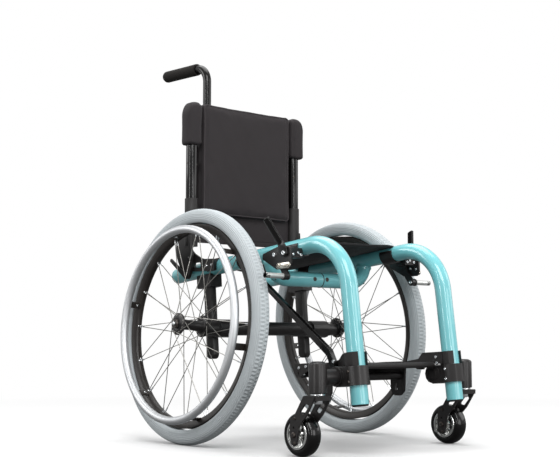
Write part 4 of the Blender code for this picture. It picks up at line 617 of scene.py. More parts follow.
def makeRim(word, side):
    # a hollow section with two hooked edges turned about the axle, and the tabs that carry the handrim
    low, seat, half = wheel["rimInner"], wheel["seat"], wheel["rimHalf"]
    well = seat - 0.0066
    upper = [(low, 0.0), (low + 0.0002, 0.0045), (low + 0.0014, 0.0066), (low + 0.0040, 0.0082),
             (seat - 0.0060, half - 0.0008), (seat - 0.0012, half), (seat, half - 0.0008), (seat, half - 0.0022),
             (seat - 0.0016, half - 0.0030), (well, half - 0.0048)]
    lower = [(radius, -height) for radius, height in upper[:0:-1]]
    shells = [wheelTurned(side, upper + lower, 200)]
    radius = handrim["outer"] - handrim["tube"] + handrim["tabFoot"]
    reach = handrim["offset"] - handrim["tube"] + handrim["tabFoot"]
    shells += [ringTab(side, tabAngle(index), radius, 0.004, reach) for index in range(handrim["tabs"])]
    addPiece(word + "_rim_hoop", shells, blackHoop, word + "_wheel", [word + "_rim"])


def makeHandrim(word, side):
    # a round tube bent to a ring: a circle turned about the axle
    turn = np.arange(26) * 2 * np.pi / 26
    middle = handrim["outer"] - handrim["tube"]
    section = np.stack([middle + handrim["tube"] * np.cos(turn), handrim["offset"] + handrim["tube"] * np.sin(turn)], 1)
    addPiece(word + "_handrim_hoop", [wheelTurned(side, section, 220)], satinAluminium, word + "_wheel",
             [word + "_handrim"])


def makeHub(word, side):
    # a spool turned about the axle: two flanges with rounded rims on a waisted body
    half, body, flange = hub["thick"] / 2, hub["body"], hub["flange"] + 0.0016
    out, into, bore = hub["outerFlange"], hub["innerFlange"], hub["axle"] + 0.0006
    outerEnd, innerEnd = hub["outerEnd"], hub["innerEnd"]
    profile = [(bore, outerEnd), (0.0105, outerEnd), (0.0115, outerEnd - 0.001), (body + 0.002, out + half + 0.002),
               (body + 0.003, out + half + 0.0006), (flange - 0.0012, out + half), (flange, out + half - 0.0008),
               (flange, out - half + 0.0008), (flange - 0.0012, out - half), (body + 0.003, out - half - 0.001),
               (body, out - half - 0.007), (body - 0.0012, 0.004), (body, into + half + 0.007),
               (body + 0.003, into + half + 0.001), (flange - 0.0012, into + half), (flange, into + half - 0.0008),
               (flange, into - half + 0.0008), (flange - 0.0012, into - half), (body + 0.001, into - half - 0.001),
               (body, into - half - 0.004), (0.0115, innerEnd + 0.001), (0.0105, innerEnd), (bore, innerEnd)]
    addPiece(word + "_hub_shell", [wheelTurned(side, profile, 72)], blackAnodised, word + "_wheel",
             [word + "_spoked_hub"])


def makeSpokes(word, side):
    # on each flange half of the spokes lead and half trail, laced on opposite faces of the flange
    radius, circle = spokes["radius"], spokes["circle"]
    pitch = 2 * np.pi / spokes["count"]
    crossing = math.radians(spokes["crossing"])
    face = hub["thick"] / 2 + radius * 0.8
    reach = wheel["rimInner"] + 0.0010
    starts, ends, heads = [], [], []
    for flange, outward, shift in ((hub["outerFlange"], 1, 0.0), (hub["innerFlange"], -1, pitch / 2)):
        for lead, rimOffset in ((1, spokes["leading"]), (-1, spokes["trailing"])):
            atHub = pitch * (np.arange(spokes["count"]) + (0 if lead > 0 else 0.5)) + shift
            atRim = atHub + lead * crossing
            starts.append(onWheel(side, circle, atHub, flange + outward * lead * face))
            ends.append(onWheel(side, reach, atRim, outward * rimOffset))
            heads.append(onWheel(side, circle, atHub, flange - outward * lead * (face + 0.0004)))
    starts, ends, heads = np.concatenate(starts), np.concatenate(ends), np.concatenate(heads)
    wires = rods(starts, ends, [(0, radius), (1, radius)], 8)
    elbows = rods(heads, starts, [(0, 0.0006), (0.06, 0.0015), (0.20, 0.0016), (0.22, radius), (1, radius)], 10)
    addPiece(word + "_spoke_wires", wires + elbows, stainlessWire, word + "_wheel")
    direction = unit(ends - starts)
    nipples = rods(ends - direction * 0.0125, ends,
                   [(0, radius), (0.03, 0.0017), (0.86, 0.0017), (0.90, 0.0025), (1, 0.0025)], 10)
    addPiece(word + "_spoke_nipples", nipples, brightSteel, word + "_wheel")


def makeAxle(word, side):
    # pin, cap and button turned about the axle; the cap is bored down to floor, so the button can be pressed in
    centre, _, _, outward = wheelAxes(side)
    head = hub["outerEnd"] + 0.0003
    face = head + hub["head"]
    floor = hub["outerEnd"] - 0.0002
    cap = turned([(0, floor - 0.0015), (0.0060, floor - 0.0015), (0.0060, head), (0.0098, head),
                  (0.0105, head + 0.0007), (0.0105, face - 0.0022), (0.0100, face - 0.0012), (0.0088, face),
                  (0.0056, face), (0.0049, face - 0.0007), (0.0049, floor), (0, floor)], centre, outward, 56)
    stem = rod(centre + outward * -0.065, centre + outward * (floor - 0.0005), hub["axle"])
    addPiece(word + "_axle_pin", [cap, stem], darkSteel, "chair", [word + "_quick_release_axle"])
    inner, outer = hub["outerEnd"] + hub["travel"] + 0.0003, face + hub["standsOut"]
    button = turned([(0, inner), (0.0043, inner), (0.0045, inner + 0.0002), (0.0045, outer - 0.0016),
                     (0.0041, outer - 0.0006), (0.0032, outer - 0.0001), (0, outer)], centre, outward, 40)
    addPiece(word + "_release_button", [button], brightSteel, word + "_axle_button", [word + "_axle_button"])


def makeTabScrews(word, side):
    # one screw on the hub's side of each tab
    centre, first, second, outward = wheelAxes(side)
    base = handrim["outer"] - handrim["tube"] + handrim["tabFoot"] - 0.0021
    heads = []
    for index in range(handrim["tabs"]):
        angle = tabAngle(index)
        inward = -(first * math.cos(angle) + second * math.sin(angle))
        heads.append(screw(centre - inward * base + outward * 0.0165, inward, 0.0030, 0.0018))
    addPiece(word + "_tab_screws", heads, brightSteel, word + "_wheel")


for word, side in sides.items():
    makeTyre(word, side)
    makeTabScrews(word, side)
    makeRim(word, side)
    makeHandrim(word, side)
    makeHub(word, side)
    makeSpokes(word, side)
    makeAxle(word, side)
print("rear wheels made")


# camber tube: a hollow tube turned about X, and a plug with a collar in each end

camber = {"radius": 0.0170, "bore": 0.0140, "half": 0.1800, "z": 0.2725, "insert": 0.0133, "insertLength": 0.035,
          "collar": 0.0150, "collarEnd": 0.2105}
middle, outer, half = at(0, 0, camber["z"]), camber["radius"], camber["half"]
tubeProfile = [(camber["bore"], -half), (outer - 0.0005, -half), (outer, 0.0005 - half), (outer, half - 0.0005),
               (outer - 0.0005, half), (camber["bore"], half)]
addPiece("camber_tube_round", [turned(tubeProfile, middle, (1, 0, 0), 64, closed=True)], blackAnodised, "chair",
         ["camber_tube"])
for word, side in sides.items():
    start, end = half + 0.0003, camber["collarEnd"]
    collar = turned([(0, start), (outer - 0.0006, start), (outer, start + 0.0006), (outer, start + 0.004),
                     (camber["collar"], end - 0.001), (camber["collar"] - 0.001, end), (0, end)],
                    middle, (side, 0, 0), 56)
    insert = rod(at(side * (start - camber["insertLength"]), 0, camber["z"]),
                 at(side * (start + 0.004), 0, camber["z"]), camber["insert"])
    addPiece(word + "_camber_collar", [collar, insert], blackAnodised, "chair", [word + "_camber_plug"])
print("camber tube made")


# casters

caster = {"x": 0.2305, "stemY": -0.4250, "trail": 0.0490, "radius": 0.0463, "half": 0.0172, "hub": 0.0320,
          "inside": 0.0200, "housing": 0.0195, "bottom": 0.1335, "top": 0.1975, "stub": 0.0165, "stubY": -0.4200,
          "stubZ": 0.1670, "stubInner": 0.1260, "shoulder": 0.0105, "ribs": 6, "ribTall": 0.0022}


def casterDish(eye):
    # a cast hub turned about X: a thick bright lip, a dished face and a boss round the axle; the face rises
    # in six ribs, height = dish + share * 2.2 mm * (0.5 + 0.5 cos 6a)^3, the share given with each point
    half, hubEnd = caster["half"], caster["inside"] - 0.0006
    dish = [(0.0046, hubEnd, 0), (0.0080, hubEnd, 0), (0.0086, hubEnd - 0.0010, 0), (0.0092, 0.0098, 0.2),
            (0.0112, 0.0076, 0.7), (0.0150, 0.0066, 1), (0.0200, 0.0064, 1), (0.0232, 0.0072, 0.8),
            (0.0248, 0.0098, 0.2), (0.0258, half - 0.0012, 0), (0.0266, half, 0), (0.0306, half, 0),
            (0.0316, half - 0.0010, 0), (caster["hub"], half - 0.0026, 0)]
    profile = np.array(dish + [(radius, -height, -share) for radius, height, share in dish[::-1]])
    angle = np.arange(96) * 2 * np.pi / 96
    rib = caster["ribTall"] * (0.5 + 0.5 * np.cos(caster["ribs"] * angle)) ** 3
    height = profile[:, 1, None] + profile[:, 2, None] * rib
    radius = profile[:, :1]
    points = [eye[0] + height, eye[1] + radius * np.cos(angle), eye[2] + radius * np.sin(angle)]
    return shell(np.stack(points, -1), closeRows=True)


def makeCaster(word, side):
    # everything is turned about one of two axes: tyre, dish and stub about X, stem housing and ring about Z;
    # the tyre's section is half a superellipse, |h/half|^2.35 + |r/shoulder|^2.35 = 1
    x = side * caster["x"]
    eye = at(x, caster["stemY"] + caster["trail"], caster["radius"])
    radius, half, inner, shoulder = caster["radius"], caster["half"], caster["hub"] + 0.0003, caster["shoulder"]
    turn = np.linspace(-math.pi / 2, math.pi / 2, 30)
    crown = np.stack([radius - shoulder + shoulder * np.abs(np.cos(turn)) ** 0.85,
                      half * np.sign(np.sin(turn)) * np.abs(np.sin(turn)) ** 0.85], 1)
    section = [(inner, -half + 0.0014), (inner + 0.0012, -half + 0.0002), *crown.tolist(),
               (inner + 0.0012, half - 0.0002), (inner, half - 0.0014)]
    addPiece(word + "_caster_tread", [turned(section, eye, (1, 0, 0), 96, closed=True)], blackUrethane,
             word + "_caster_wheel", [word + "_caster_tyre"])
    addPiece(word + "_caster_hub_dish", [casterDish(eye)], polishedAluminium, word + "_caster_wheel",
             [word + "_caster_hub"])

    low, high, wide = caster["bottom"], caster["top"], caster["housing"]
    stem = at(x, caster["stemY"], 0)
    barrel = turned([(0.0086, low), (wide - 0.0012, low), (wide, low + 0.0012), (wide, high - 0.005),
                     (wide - 0.0008, high - 0.0022), (wide - 0.003, high - 0.0004), (wide * 0.6, high + 0.0020),
                     (0, high + 0.0025)], stem, (0, 0, 1), 64)
    stubEnd = at(side * caster["stubInner"], caster["stubY"], caster["stubZ"])
    stub = rod(stubEnd, at(side * (caster["x"] - 0.010), caster["stubY"], caster["stubZ"]), caster["stub"], 0.0012, 56)
    ring = turned([(0.0118, -0.0008), (0.0118, 0.0010), (0.0128, 0.0010), (0.0128, -0.0008), (0.0125, -0.0010),
                   (0.0121, -0.0010)], stubEnd, (side, 0, 0), 48, closed=True)
    addPiece(word + "_caster_barrel", [barrel, stub, ring], blackAnodised, "chair", [word + "_caster_housing"])

    # the bright ring and nut on the stem, the axle's bolts and the spare holes of the fork
    ring = turned([(0.0098, low - 0.0043), (0.0150, low - 0.0043), (0.0156, low - 0.0038), (0.0156, low - 0.0008),
                   (0.0150, low - 0.0003), (0.0098, low - 0.0003)], stem, (0, 0, 1), 56, closed=True)
    nut = turned([(0, low - 0.0225), (0.0070, low - 0.0225), (0.0092, low - 0.0218), (0.0098, low - 0.0208),
                  (0.0098, low - 0.0140), (0, low - 0.0140)], stem, (0, 0, 1), 48, sixSided=(2, 3, 4))
    addPiece(word + "_stem_ring", [ring, nut], brightSteel, word + "_caster_fork")
    bolts = [screw((x + end * (caster["inside"] + 0.0045), eye[1], eye[2]), (end, 0, 0), 0.0062, 0.0034)
             for end in (-1, 1)]
    dimples = [screw((x + end * (caster["inside"] + 0.0047), eye[1] - 0.0030, eye[2] + rise), (end, 0, 0), 0.0034,
                     0.0018) for end in (-1, 1) for rise in (-0.0165, 0.0345)]
    addPiece(word + "_fork_bolts", bolts + dimples, darkSteel, word + "_caster_fork")
    easedCopy(word + "_caster_fork", blackAnodised, word + "_caster_fork", 0.0007)


for word, side in sides.items():
    makeCaster(word, side)
print("casters made")


# back: canes, handle and grip

back = {"caneX": 0.1700, "caneY": 0.1200, "cane": 0.0145, "bottom": 0.4900, "top": 0.8450, "barY": 0.1545,
        "handleX": -0.0980, "handle": 0.0108, "handleBottom": 0.7000, "handleTop": 0.9620, "bend": 0.042, "rise": 2.6,
        "gripStart": 0.1975, "gripEnd": 0.3480, "grip": 0.0156}
backY = back["caneY"] + behind
for word, side in sides.items():
    cane = rod(at(side * back["caneX"], back["caneY"], back["bottom"]),
               at(side * back["caneX"], back["caneY"], back["top"]), back["cane"], 0.001, 64)
    addPiece(word + "_cane_tube", [cane], blackEnamel, "backrest", [word + "_back_cane"])
    # a snap button on the outside of each cane and one on its front
    snaps = [screw((side * 0.1844, backY, 0.6923), (side, 0, 0), 0.0024, 0.0012),
             screw((side * (back["caneX"] - 0.0074), backY - 0.0124, 0.6888), (-side * 0.51, -0.86, 0), 0.0022, 0.0010)]
    addPiece(word + "_cane_snaps", snaps, darkSteel, "backrest")


def handleAt(y):
    # the handle's middle line rises a little towards the rear
    slope = math.tan(math.radians(back["rise"]))
    return at(back["handleX"], y, back["handleTop"] + slope * (y - back["barY"]))


corners = [at(back["handleX"], back["barY"], back["handleBottom"]), handleAt(back["barY"]),
           handleAt(back["gripEnd"] - 0.006)]
handleTube = swept(softPath(corners, [back["bend"]], 30), back["handle"], (1, 0, 0), 48, ends=0.0006)
addPiece("handle_tube_bent", [handleTube], blackEnamel, "backrest", ["push_handle_tube"])
# the grip is turned about the handle: a lip, a body that is drawn in by 0.2 mm at its middle, and a domed end
start, end = handleAt(back["gripStart"]), handleAt(back["gripEnd"])
length = float(np.linalg.norm(end - start))
grip = back["grip"]
gripProfile = [(back["handle"] + 0.0002, 0), (grip - 0.0014, 0.0), (grip - 0.0003, 0.0012), (grip, 0.004)]
gripProfile += [(grip - 0.0002 * math.sin(share * math.pi), 0.004 + share * (length - 0.014))
                for share in np.linspace(0.1, 1, 10)]
gripProfile += [(grip - 0.0008, length - 0.006), (grip - 0.0030, length - 0.0022), (grip - 0.0065, length - 0.0003),
                (0, length)]
addPiece("foam_grip_sleeve", [turned(gripProfile, start, end - start, 56)], foamRubber, "backrest",
         ["push_handle_grip"])
print("canes and handle made")


# upholstery

pad = {"halfWidth": 0.1510, "bottom": 0.5560, "top": 0.8565, "thick": 0.0400, "slack": 0.0034, "corner": 0.0100,
       "end": 0.0090, "seams": (-0.1335, 0.1335), "seamDeep": 0.0019, "cord": 0.0021, "voxel": 0.005, "pressure": 4.0,
       "cap": 0.0042, "folds": 0.0006}
sling = {"halfWidth": 0.1580, "y": 0.1374, "thick": 0.0032, "bottom": 0.5010, "top": 0.7420, "folds": 0.0005}
flap = {"halfWidth": 0.1524, "y": 0.1200, "thick": 0.0032, "bottom": 0.4910, "top": 0.5660, "folds": 0.0005}
wing = {"x": 0.1720, "half": 0.0226, "corner": 0.0115, "top": 0.8535, "bottom": 0.7375, "topRound": 0.0150,
        "seamX": 0.1560, "voxel": 0.004, "pressure": 4.0, "cap": 0.0030, "folds": 0.0007}
seat = {"front": -0.2900, "rear": 0.0700, "sag": 0.022, "frontSag": 0.0050, "taut": 0.110, "over": 0.0080,
        "thick": 0.0034, "hem": 0.0014, "folds": 0.0006}


def smallFolds(x, z, size):
    # soft, uneven tension lines: three crossed waves of unlike length
    broad, middling = np.sin(x * 61 + z * 23 + 0.6), np.sin(x * 27 - z * 71 + 2.1)
    return size * (0.5 * broad + 0.3 * middling + 0.2 * np.sin(x * 143 + z * 97))


def padFolds(points, normals):
    # tension lines all over, and a drawn-in line along each sewn seam of the front face
    x, z = points[:, 0], points[:, 2]
    front = normals[:, 1] < -0.6
    sewn = sum(pad["seamDeep"] * np.exp(-((x - line) / 0.0030) ** 2) for line in pad["seams"])
    return normals * (smallFolds(x, z, pad["folds"]) - front * sewn)[:, None]


def wingFolds(points, normals):
    # soft creases down the sleeve, with a seam drawn in on its inner side
    x, z = np.abs(points[:, 0]), points[:, 2]
    crease = 0.0012 * np.exp(-((x - wing["seamX"]) / 0.0030) ** 2)
    return normals * (smallFolds(x * 2.2, z * 0.6, wing["folds"]) - crease)[:, None]


def cordOn(piece, path):
    # a path laid on the nearest points of a finished piece
    tree = bpy.context.evaluated_depsgraph_get()
    return np.array([piece.closest_point_on_mesh(tuple(point), depsgraph=tree)[1] for point in path])


def pipingAndHighlightPath(rearward):
    # the cord sewn round the rear edge of the pad, or laid round its front edge as a painted highlight: a rounded
    # rectangle in X and Z
    high, middle = (pad["top"] - pad["bottom"]) / 2, (pad["top"] + pad["bottom"]) / 2
    ring = roundedRing(pad["halfWidth"], high, 0.016, corner=10, longRun=60, shortRun=60)
    y = backY + rearward * (pad["thick"] / 2 + 0.004)
    return np.stack([ring[:, 0], np.full(len(ring), y), ring[:, 1] + middle], 1)


def flatPanel(form):
    # a thin upright panel of cloth: across, the superellipse |u|^16 + |v|^2.5 = 1; its ends close as sqrt(1 - s^40)
    rows, columns = 60, 160
    high, middle = (form["top"] - form["bottom"]) / 2, (form["top"] + form["bottom"]) / 2
    share = np.linspace(-1, 1, rows)
    turn = (np.arange(columns) + 0.5) * 2 * np.pi / columns
    u = np.sign(np.cos(turn)) * np.abs(np.cos(turn)) ** (2 / 16)
    v = np.sign(np.sin(turn)) * np.abs(np.sin(turn)) ** 0.8
    depth = (1 - np.abs(share) ** 40) ** 0.5
    z = middle + high * share[:, None] * np.ones(columns)
    x = form["halfWidth"] * u * np.ones((rows, 1))
    hem = 0.0010 * np.exp(-((z - form["bottom"] - 0.012) / 0.0012) ** 2)
    y = depth[:, None] * v * (form["thick"] / 2 - hem) + smallFolds(x, z, form["folds"])
    return shell(np.stack([x, form["y"] + behind + y, z], -1))


def padCore():
    # the pad before it swells, smaller all round by its slack
    slack = pad["slack"]
    return boxCushion((0, backY, 0), pad["halfWidth"] - slack, pad["thick"] / 2 - slack, pad["bottom"] + slack,
                      pad["top"] - slack, pad["corner"], pad["end"], pad["end"])


def wingCore(side):
    # its outer top corner falls away by 26 mm * s^2.4 * h^2 and its outer rear corner is drawn in by 6 mm * s * t^2;
    # s and t run from 0 at the sleeve's middle to 1 at its outer and rear faces, h from 0 at its foot to 1 at its top
    points, faces = boxCushion((side * wing["x"], backY, 0), wing["half"], wing["half"], wing["bottom"] + 0.002,
                               wing["top"] - 0.002, wing["corner"], wing["topRound"], 0.006, rows=24, longRun=8,
                               shortRun=8)
    out = np.clip(side * (points[:, 0] - side * wing["x"]) / wing["half"], 0, 1)
    rear = np.clip((points[:, 1] - backY) / wing["half"], 0, 1)
    height = np.clip((points[:, 2] - wing["bottom"]) / (wing["top"] - wing["bottom"]), 0, 1)
    points[:, 2] -= 0.026 * out ** 2.4 * height ** 2
    points[:, 0] -= side * 0.006 * out * rear ** 2
    return points, faces


padPiece = dress(puffed("back_pad", [padCore()], pad["voxel"], pad["pressure"], pad["cap"], padFolds), nylonCloth,
                 "backrest", ["back_upholstery"])
# the front cord's lighter tape is a painted highlight on the pad's front edge; the rear cord is its piping
cords = [swept(cordOn(padPiece, pipingAndHighlightPath(end)), pad["cord"], (0, 1, 0), 10, closed=True) for end in (-1, 1)]
addPiece("back_piping_and_edge_highlight", cords, pipingTapeAndEdgeHighlight, "backrest")
slingPiece = addPiece("back_sling", [flatPanel(sling)], nylonCloth, "backrest")
flapPiece = addPiece("back_flap", [flatPanel(flap)], nylonCloth, "backrest")
for word, side in sides.items():
    sleeve = dress(puffed(word + "_wing_sleeve", [wingCore(side)], wing["voxel"], wing["pressure"], wing["cap"],
                          wingFolds), nylonCloth, "backrest")


def seatShell():
    # a sheet between the rails: it sags as a parabola from edge to edge, 5 mm at the taut front hem and 22 mm from
    # 110 mm behind it, eased as 3t^2 - 2t^3; a rolled hem runs along front and rear
    rows, columns, half = 90, 90, frameTube["halfWidth"] - seat["over"]
    y = np.linspace(seat["front"], seat["rear"], rows)
    across = np.linspace(-1, 1, columns)
    share = np.clip((y - seat["front"]) / seat["taut"], 0, 1)
    sag = seat["frontSag"] + (seat["sag"] - seat["frontSag"]) * (3 * share ** 2 - 2 * share ** 3)
    dip = sag[:, None] * (1 - across ** 2)[None] + 0.004 * across[None] ** 8
    fromEnd = np.minimum(y - seat["front"], seat["rear"] - y)
    thick = seat["thick"] / 2 + seat["hem"] * np.exp(-((fromEnd - 0.007) / 0.006) ** 4)
    stitch = 0.0008 * np.exp(-((fromEnd - 0.022) / 0.0012) ** 2)
    edge = np.sqrt(np.clip(1 - np.abs(across) ** 40, 0, 1))[None]
    middle = (railZ(y) + frameTube["radius"] + 0.0006)[:, None] - dip
    folds = smallFolds(across[None] * half, y[:, None], seat["folds"])
    xs = np.broadcast_to(across * half, (rows, columns))
    ys = np.broadcast_to(y[:, None] + behind, (rows, columns))
    upper = np.stack([xs, ys, middle + (thick - stitch)[:, None] * edge + folds], -1)
    lower = np.stack([xs, ys, middle - thick[:, None] * edge + folds], -1)
    return shell(np.concatenate([upper, lower[:, ::-1]], 1), caps=(0, -1))


# the seat is drawn in the darker cloth, which is painted shade for its underside
seatPiece = addPiece("seat_sheet", [seatShell()], seatClothPaintedShade, "chair", ["seat_sling"], sharp=60)
# cut 291 mm wide for the 284 mm between its edges and the 22 mm sag, 361 mm long down the rails' slope
print("upholstery made")


# wheel locks, hinge, footrest and clamps: CAD plates with eased edges

plates = {"chair": [("post_clamp", blackAnodised), ("camber_clamp", blackAnodised), ("caster_clamp", blackAnodised),
                    ("footrest_clamp", blackAnodised), ("back_bracket", blackAnodised), ("lock_bracket", blackAnodised),
                    ("rail_cap", blackNylon), ("leg_cap", blackNylon)],
          "backrest": [("cane_socket", blackNylon)]}
for word in sides:
    for body, nodes in plates.items():
        for node, finish in nodes:
            easedCopy(word + "_" + node, finish, body, 0.0008)
    easedCopy(word + "_back_latch", blackAnodised, word + "_back_latch", 0.0007)
easedCopy("frame_brace", blackEnamel, "chair", 0.0012)
easedCopy("back_cross_bar", blackEnamel, "backrest", 0.0008)
easedCopy("footplate", blackNylon, "footplate", 0.0008)

lock = {"plateX": 0.2030, "thick": 0.0050, "gap": 0.0003, "leverY": -0.2944, "leverZ": 0.4360,
        "tip": (0.2345, -0.2575, 0.5155), "barThick": 0.0038, "barWide": 2.35, "rodY": -0.2905, "rodZ": 0.3850,
        "rod": 0.0060, "rodEnd": 0.2635, "boss": 0.0085, "knurls": 14, "knurlPitch": 0.0006}
post = {"half": 0.0095, "depth": 0.01425, "footY": 0.0495, "footZ": 0.1980, "topZ": 0.3976, "footRound": 0.0125,
        "topRound": 0.0012, "firstHole": 0.022, "pitch": 0.0150, "holes": 10}


def makePost(word, side):
    # a bar that leans with the rail: flat faces, a nearly round foot, and a row of drilled holes with dark rims
    lean = math.tan(math.radians(frameTube["railSlope"]))
    low, high, deep, middle = post["footZ"], post["topZ"], post["depth"], frameTube["halfWidth"]
    foot, head = post["footY"] + behind, post["footY"] + behind + (high - low) * lean
    outline = softOutline([(foot - deep, low), (foot + deep, low), (head + deep, high), (head - deep, high)],
                          (post["footRound"], post["footRound"], post["topRound"], post["topRound"]), 12)
    bar = sidePlate(side, outline, middle - post["half"], middle + post["half"], 0.0024)
    addPiece(word + "_post_bar", [bar], blackAnodised, "chair", [word + "_axle_post"])
    rim = [(0, -0.0006), (0.0026, -0.0006), (0.0026, 0.0001), (0.0022, 0.0003), (0.0019, -0.0003), (0, -0.0003)]
    heights = [low + post["firstHole"] + index * post["pitch"] for index in range(post["holes"])]
    rims = [turned(rim, (side * middle + end * post["half"], foot + (z - low) * lean, z), (end, 0, 0), 20)
            for z in heights for end in (-1, 1)]
    addPiece(word + "_post_rims", rims, blackNylon, "chair")


def makeLever(word, side):
    # a pressed plate on its pin and a flat bar of superellipse section, 18 x 8 mm, that leans outward to a round tip
    near = lock["plateX"] + lock["thick"] + lock["gap"]
    y, z = lock["leverY"] + behind, lock["leverZ"]
    steps = ((-0.0100, -0.0070), (0.0070, -0.0090), (0.0190, 0.0040), (0.0220, 0.0240), (0.0070, 0.0280),
             (-0.0090, 0.0100))
    outline = softOutline([(y + step, z + rise) for step, rise in steps], (0.006, 0.006, 0.006, 0.004, 0.004, 0.006))
    base = np.array((side * (near + 0.0028), y + 0.0150, z + 0.0240))
    tip = np.array((side * lock["tip"][0], lock["tip"][1] + behind, lock["tip"][2]))
    away = unit(tip - base)
    wide = unit(np.cross(away, (1.0, 0.0, 0.0)))
    share = np.linspace(0, 1, 16)[:, None]
    bar = swept((base - away * 0.012) * (1 - share) + tip * share, lock["barThick"], wide, 44, power=3.4,
                wide=lock["barWide"], ends=0.0036)
    pressed = sidePlate(side, outline, near, near + lock["thick"] - 0.0003, 0.0007)
    addPiece(word + "_lever_bar", [pressed, bar], blackEnamel, word + "_lock_lever", [word + "_lock_lever"])


def makeShoe(word, side):
    # a bright rod turned about X, with a black collar at its inner end and a knurled outer end
    easedCopy(word + "_lock_shoe", blackAnodised, word + "_lock_shoe", 0.0006)
    middle, axis = at(0, lock["rodY"], lock["rodZ"]), (side, 0, 0)
    end, radius, boss, pitch = lock["rodEnd"], lock["rod"], lock["boss"], lock["knurlPitch"]
    start = lock["plateX"] - lock["gap"] - lock["thick"] + 0.0106
    profile = [(0, start), (radius + 0.0001, start), (radius + 0.0001, end - 0.0110), (radius - 0.0004, end - 0.0104)]
    profile += [(radius - 0.0004 * ((index + 1) % 2), end - 0.0098 + index * pitch) for index in range(lock["knurls"])]
    profile += [(radius - 0.0002, end - 0.0012), (radius - 0.0012, end), (0, end)]
    addPiece(word + "_shoe_bar", [turned(profile, middle, axis, 48)], shoeWhite, word + "_lock_shoe")
    collar = turned([(radius, start - 0.0004), (boss + 0.0006, start - 0.0004), (boss + 0.0006, start + 0.0036),
                     (boss, start + 0.0042), (radius, start + 0.0042)], middle, axis, 48, closed=True)
    addPiece(word + "_shoe_collar", [collar], blackNylon, word + "_lock_shoe")


for word, side in sides.items():
    makePost(word, side)
    makeLever(word, side)
    makeShoe(word, side)
print("plates and locks made")


# screws: ((distance from the middle, Y, Z), direction of the head, radius, height of the head), by the part that
# they hold; the dark ones under "tube" are flat discs of painted shade for small holes in the tubes; the places were
# found by ray from the photograph onto the solids

brightBolts = {"lock": [((0.2080, -0.1860, 0.4340), (1, 0, 0), 0.0050, 0.0030)],
               "hinge": [((0.1765, 0.0920, 0.4285), (1, 0, 0), 0.0038, 0.0024),
                         ((0.1765, 0.1140, 0.4270), (1, 0, 0), 0.0038, 0.0024)],
               "bridge": [((0.1715, -0.2340, 0.4330), (0, -1, 0), 0.0036, 0.0024),
                          ((0.1940, -0.2340, 0.4330), (0, -1, 0), 0.0036, 0.0024),
                          ((0.2030, -0.2160, 0.4190), (-1, 0, 0), 0.0036, 0.0022),
                          ((0.2030, -0.2340, 0.4170), (-1, 0, 0), 0.0036, 0.0022)],
               "ear": [((0.1798, -0.2340, 0.4368), (0, -1, 0), 0.0034, 0.0024)],
               "ring": [((0.1250, -0.3910, 0.1789), (-0.97, -0.26, 0.03), 0.0030, 0.0020),
                        ((0.1249, -0.3936, 0.1565), (-0.97, -0.26, 0.03), 0.0030, 0.0020)]}
darkBoltsAndHoleShade = {"caster": [((0.1750, -0.3874, 0.1782), (0.97, 0.26, -0.03), 0.0040, 0.0026),
                        ((0.1748, -0.3894, 0.1562), (0.97, 0.26, -0.03), 0.0040, 0.0026)],
             # under tube: flat dark discs 0.4 mm proud where the tubes have small holes, painted shade for the holes'
             # insides
             "tube": [((0.1449, -0.1008, 0.3849), (0.8, 0.3, 0.5), 0.0020, 0.0004),
                      ((0.1434, -0.1121, 0.3850), (0.8, 0.1, 0.5), 0.0020, 0.0004),
                      ((0.1689, 0.2330, 0.4128), (1, 0, 0), 0.0022, 0.0004),
                      ((0.1689, 0.2500, 0.4113), (1, 0, 0), 0.0022, 0.0004)]}
# a link of nickel-plated strip, 48 x 13 mm, lies on each lock and holds two recessed screws
link = {"corners": [(-0.2426, 0.4024), (-0.1946, 0.4014), (-0.1946, 0.4144), (-0.2426, 0.4154)], "round": 0.0064,
        "near": 0.2078, "far": 0.2106, "screws": ((-0.2030, 0.4084), (-0.2341, 0.4089))}
for word, side in sides.items():
    for finish, groups, label in ((brightSteel, brightBolts, "_bright_screws"), (darkSteel, darkBoltsAndHoleShade, "_dark_screws_and_hole_shade")):
        made = [screw((side * place[0], place[1], place[2]), (side * axis[0], axis[1], axis[2]), radius, tall)
                for group in groups.values() for place, axis, radius, tall in group]
        addPiece(word + label, made, finish, "chair")
    shoeNut = screw(at(side * 0.1977, lock["rodY"], lock["rodZ"]), (-side, 0, 0), 0.0050, 0.0028)
    addPiece(word + "_shoe_nut", [shoeNut], brightSteel, word + "_lock_shoe")
    # the lever's pin carries a domed nut, which turns with the lever
    pin = screw((side * 0.2134, -0.2244, 0.4360), (side, 0, 0), 0.0050, 0.0032)
    addPiece(word + "_lever_nut", [pin], brightSteel, word + "_lock_lever")
    strip = sidePlate(side, softOutline(link["corners"], link["round"]), link["near"], link["far"], 0.0008)
    recessed = [screw((side * 0.2104, y, z), (side, 0, 0), 0.0046, 0.0014) for y, z in link["screws"]]
    addPiece(word + "_lock_link", [strip, *recessed], nickelPlate, "chair")
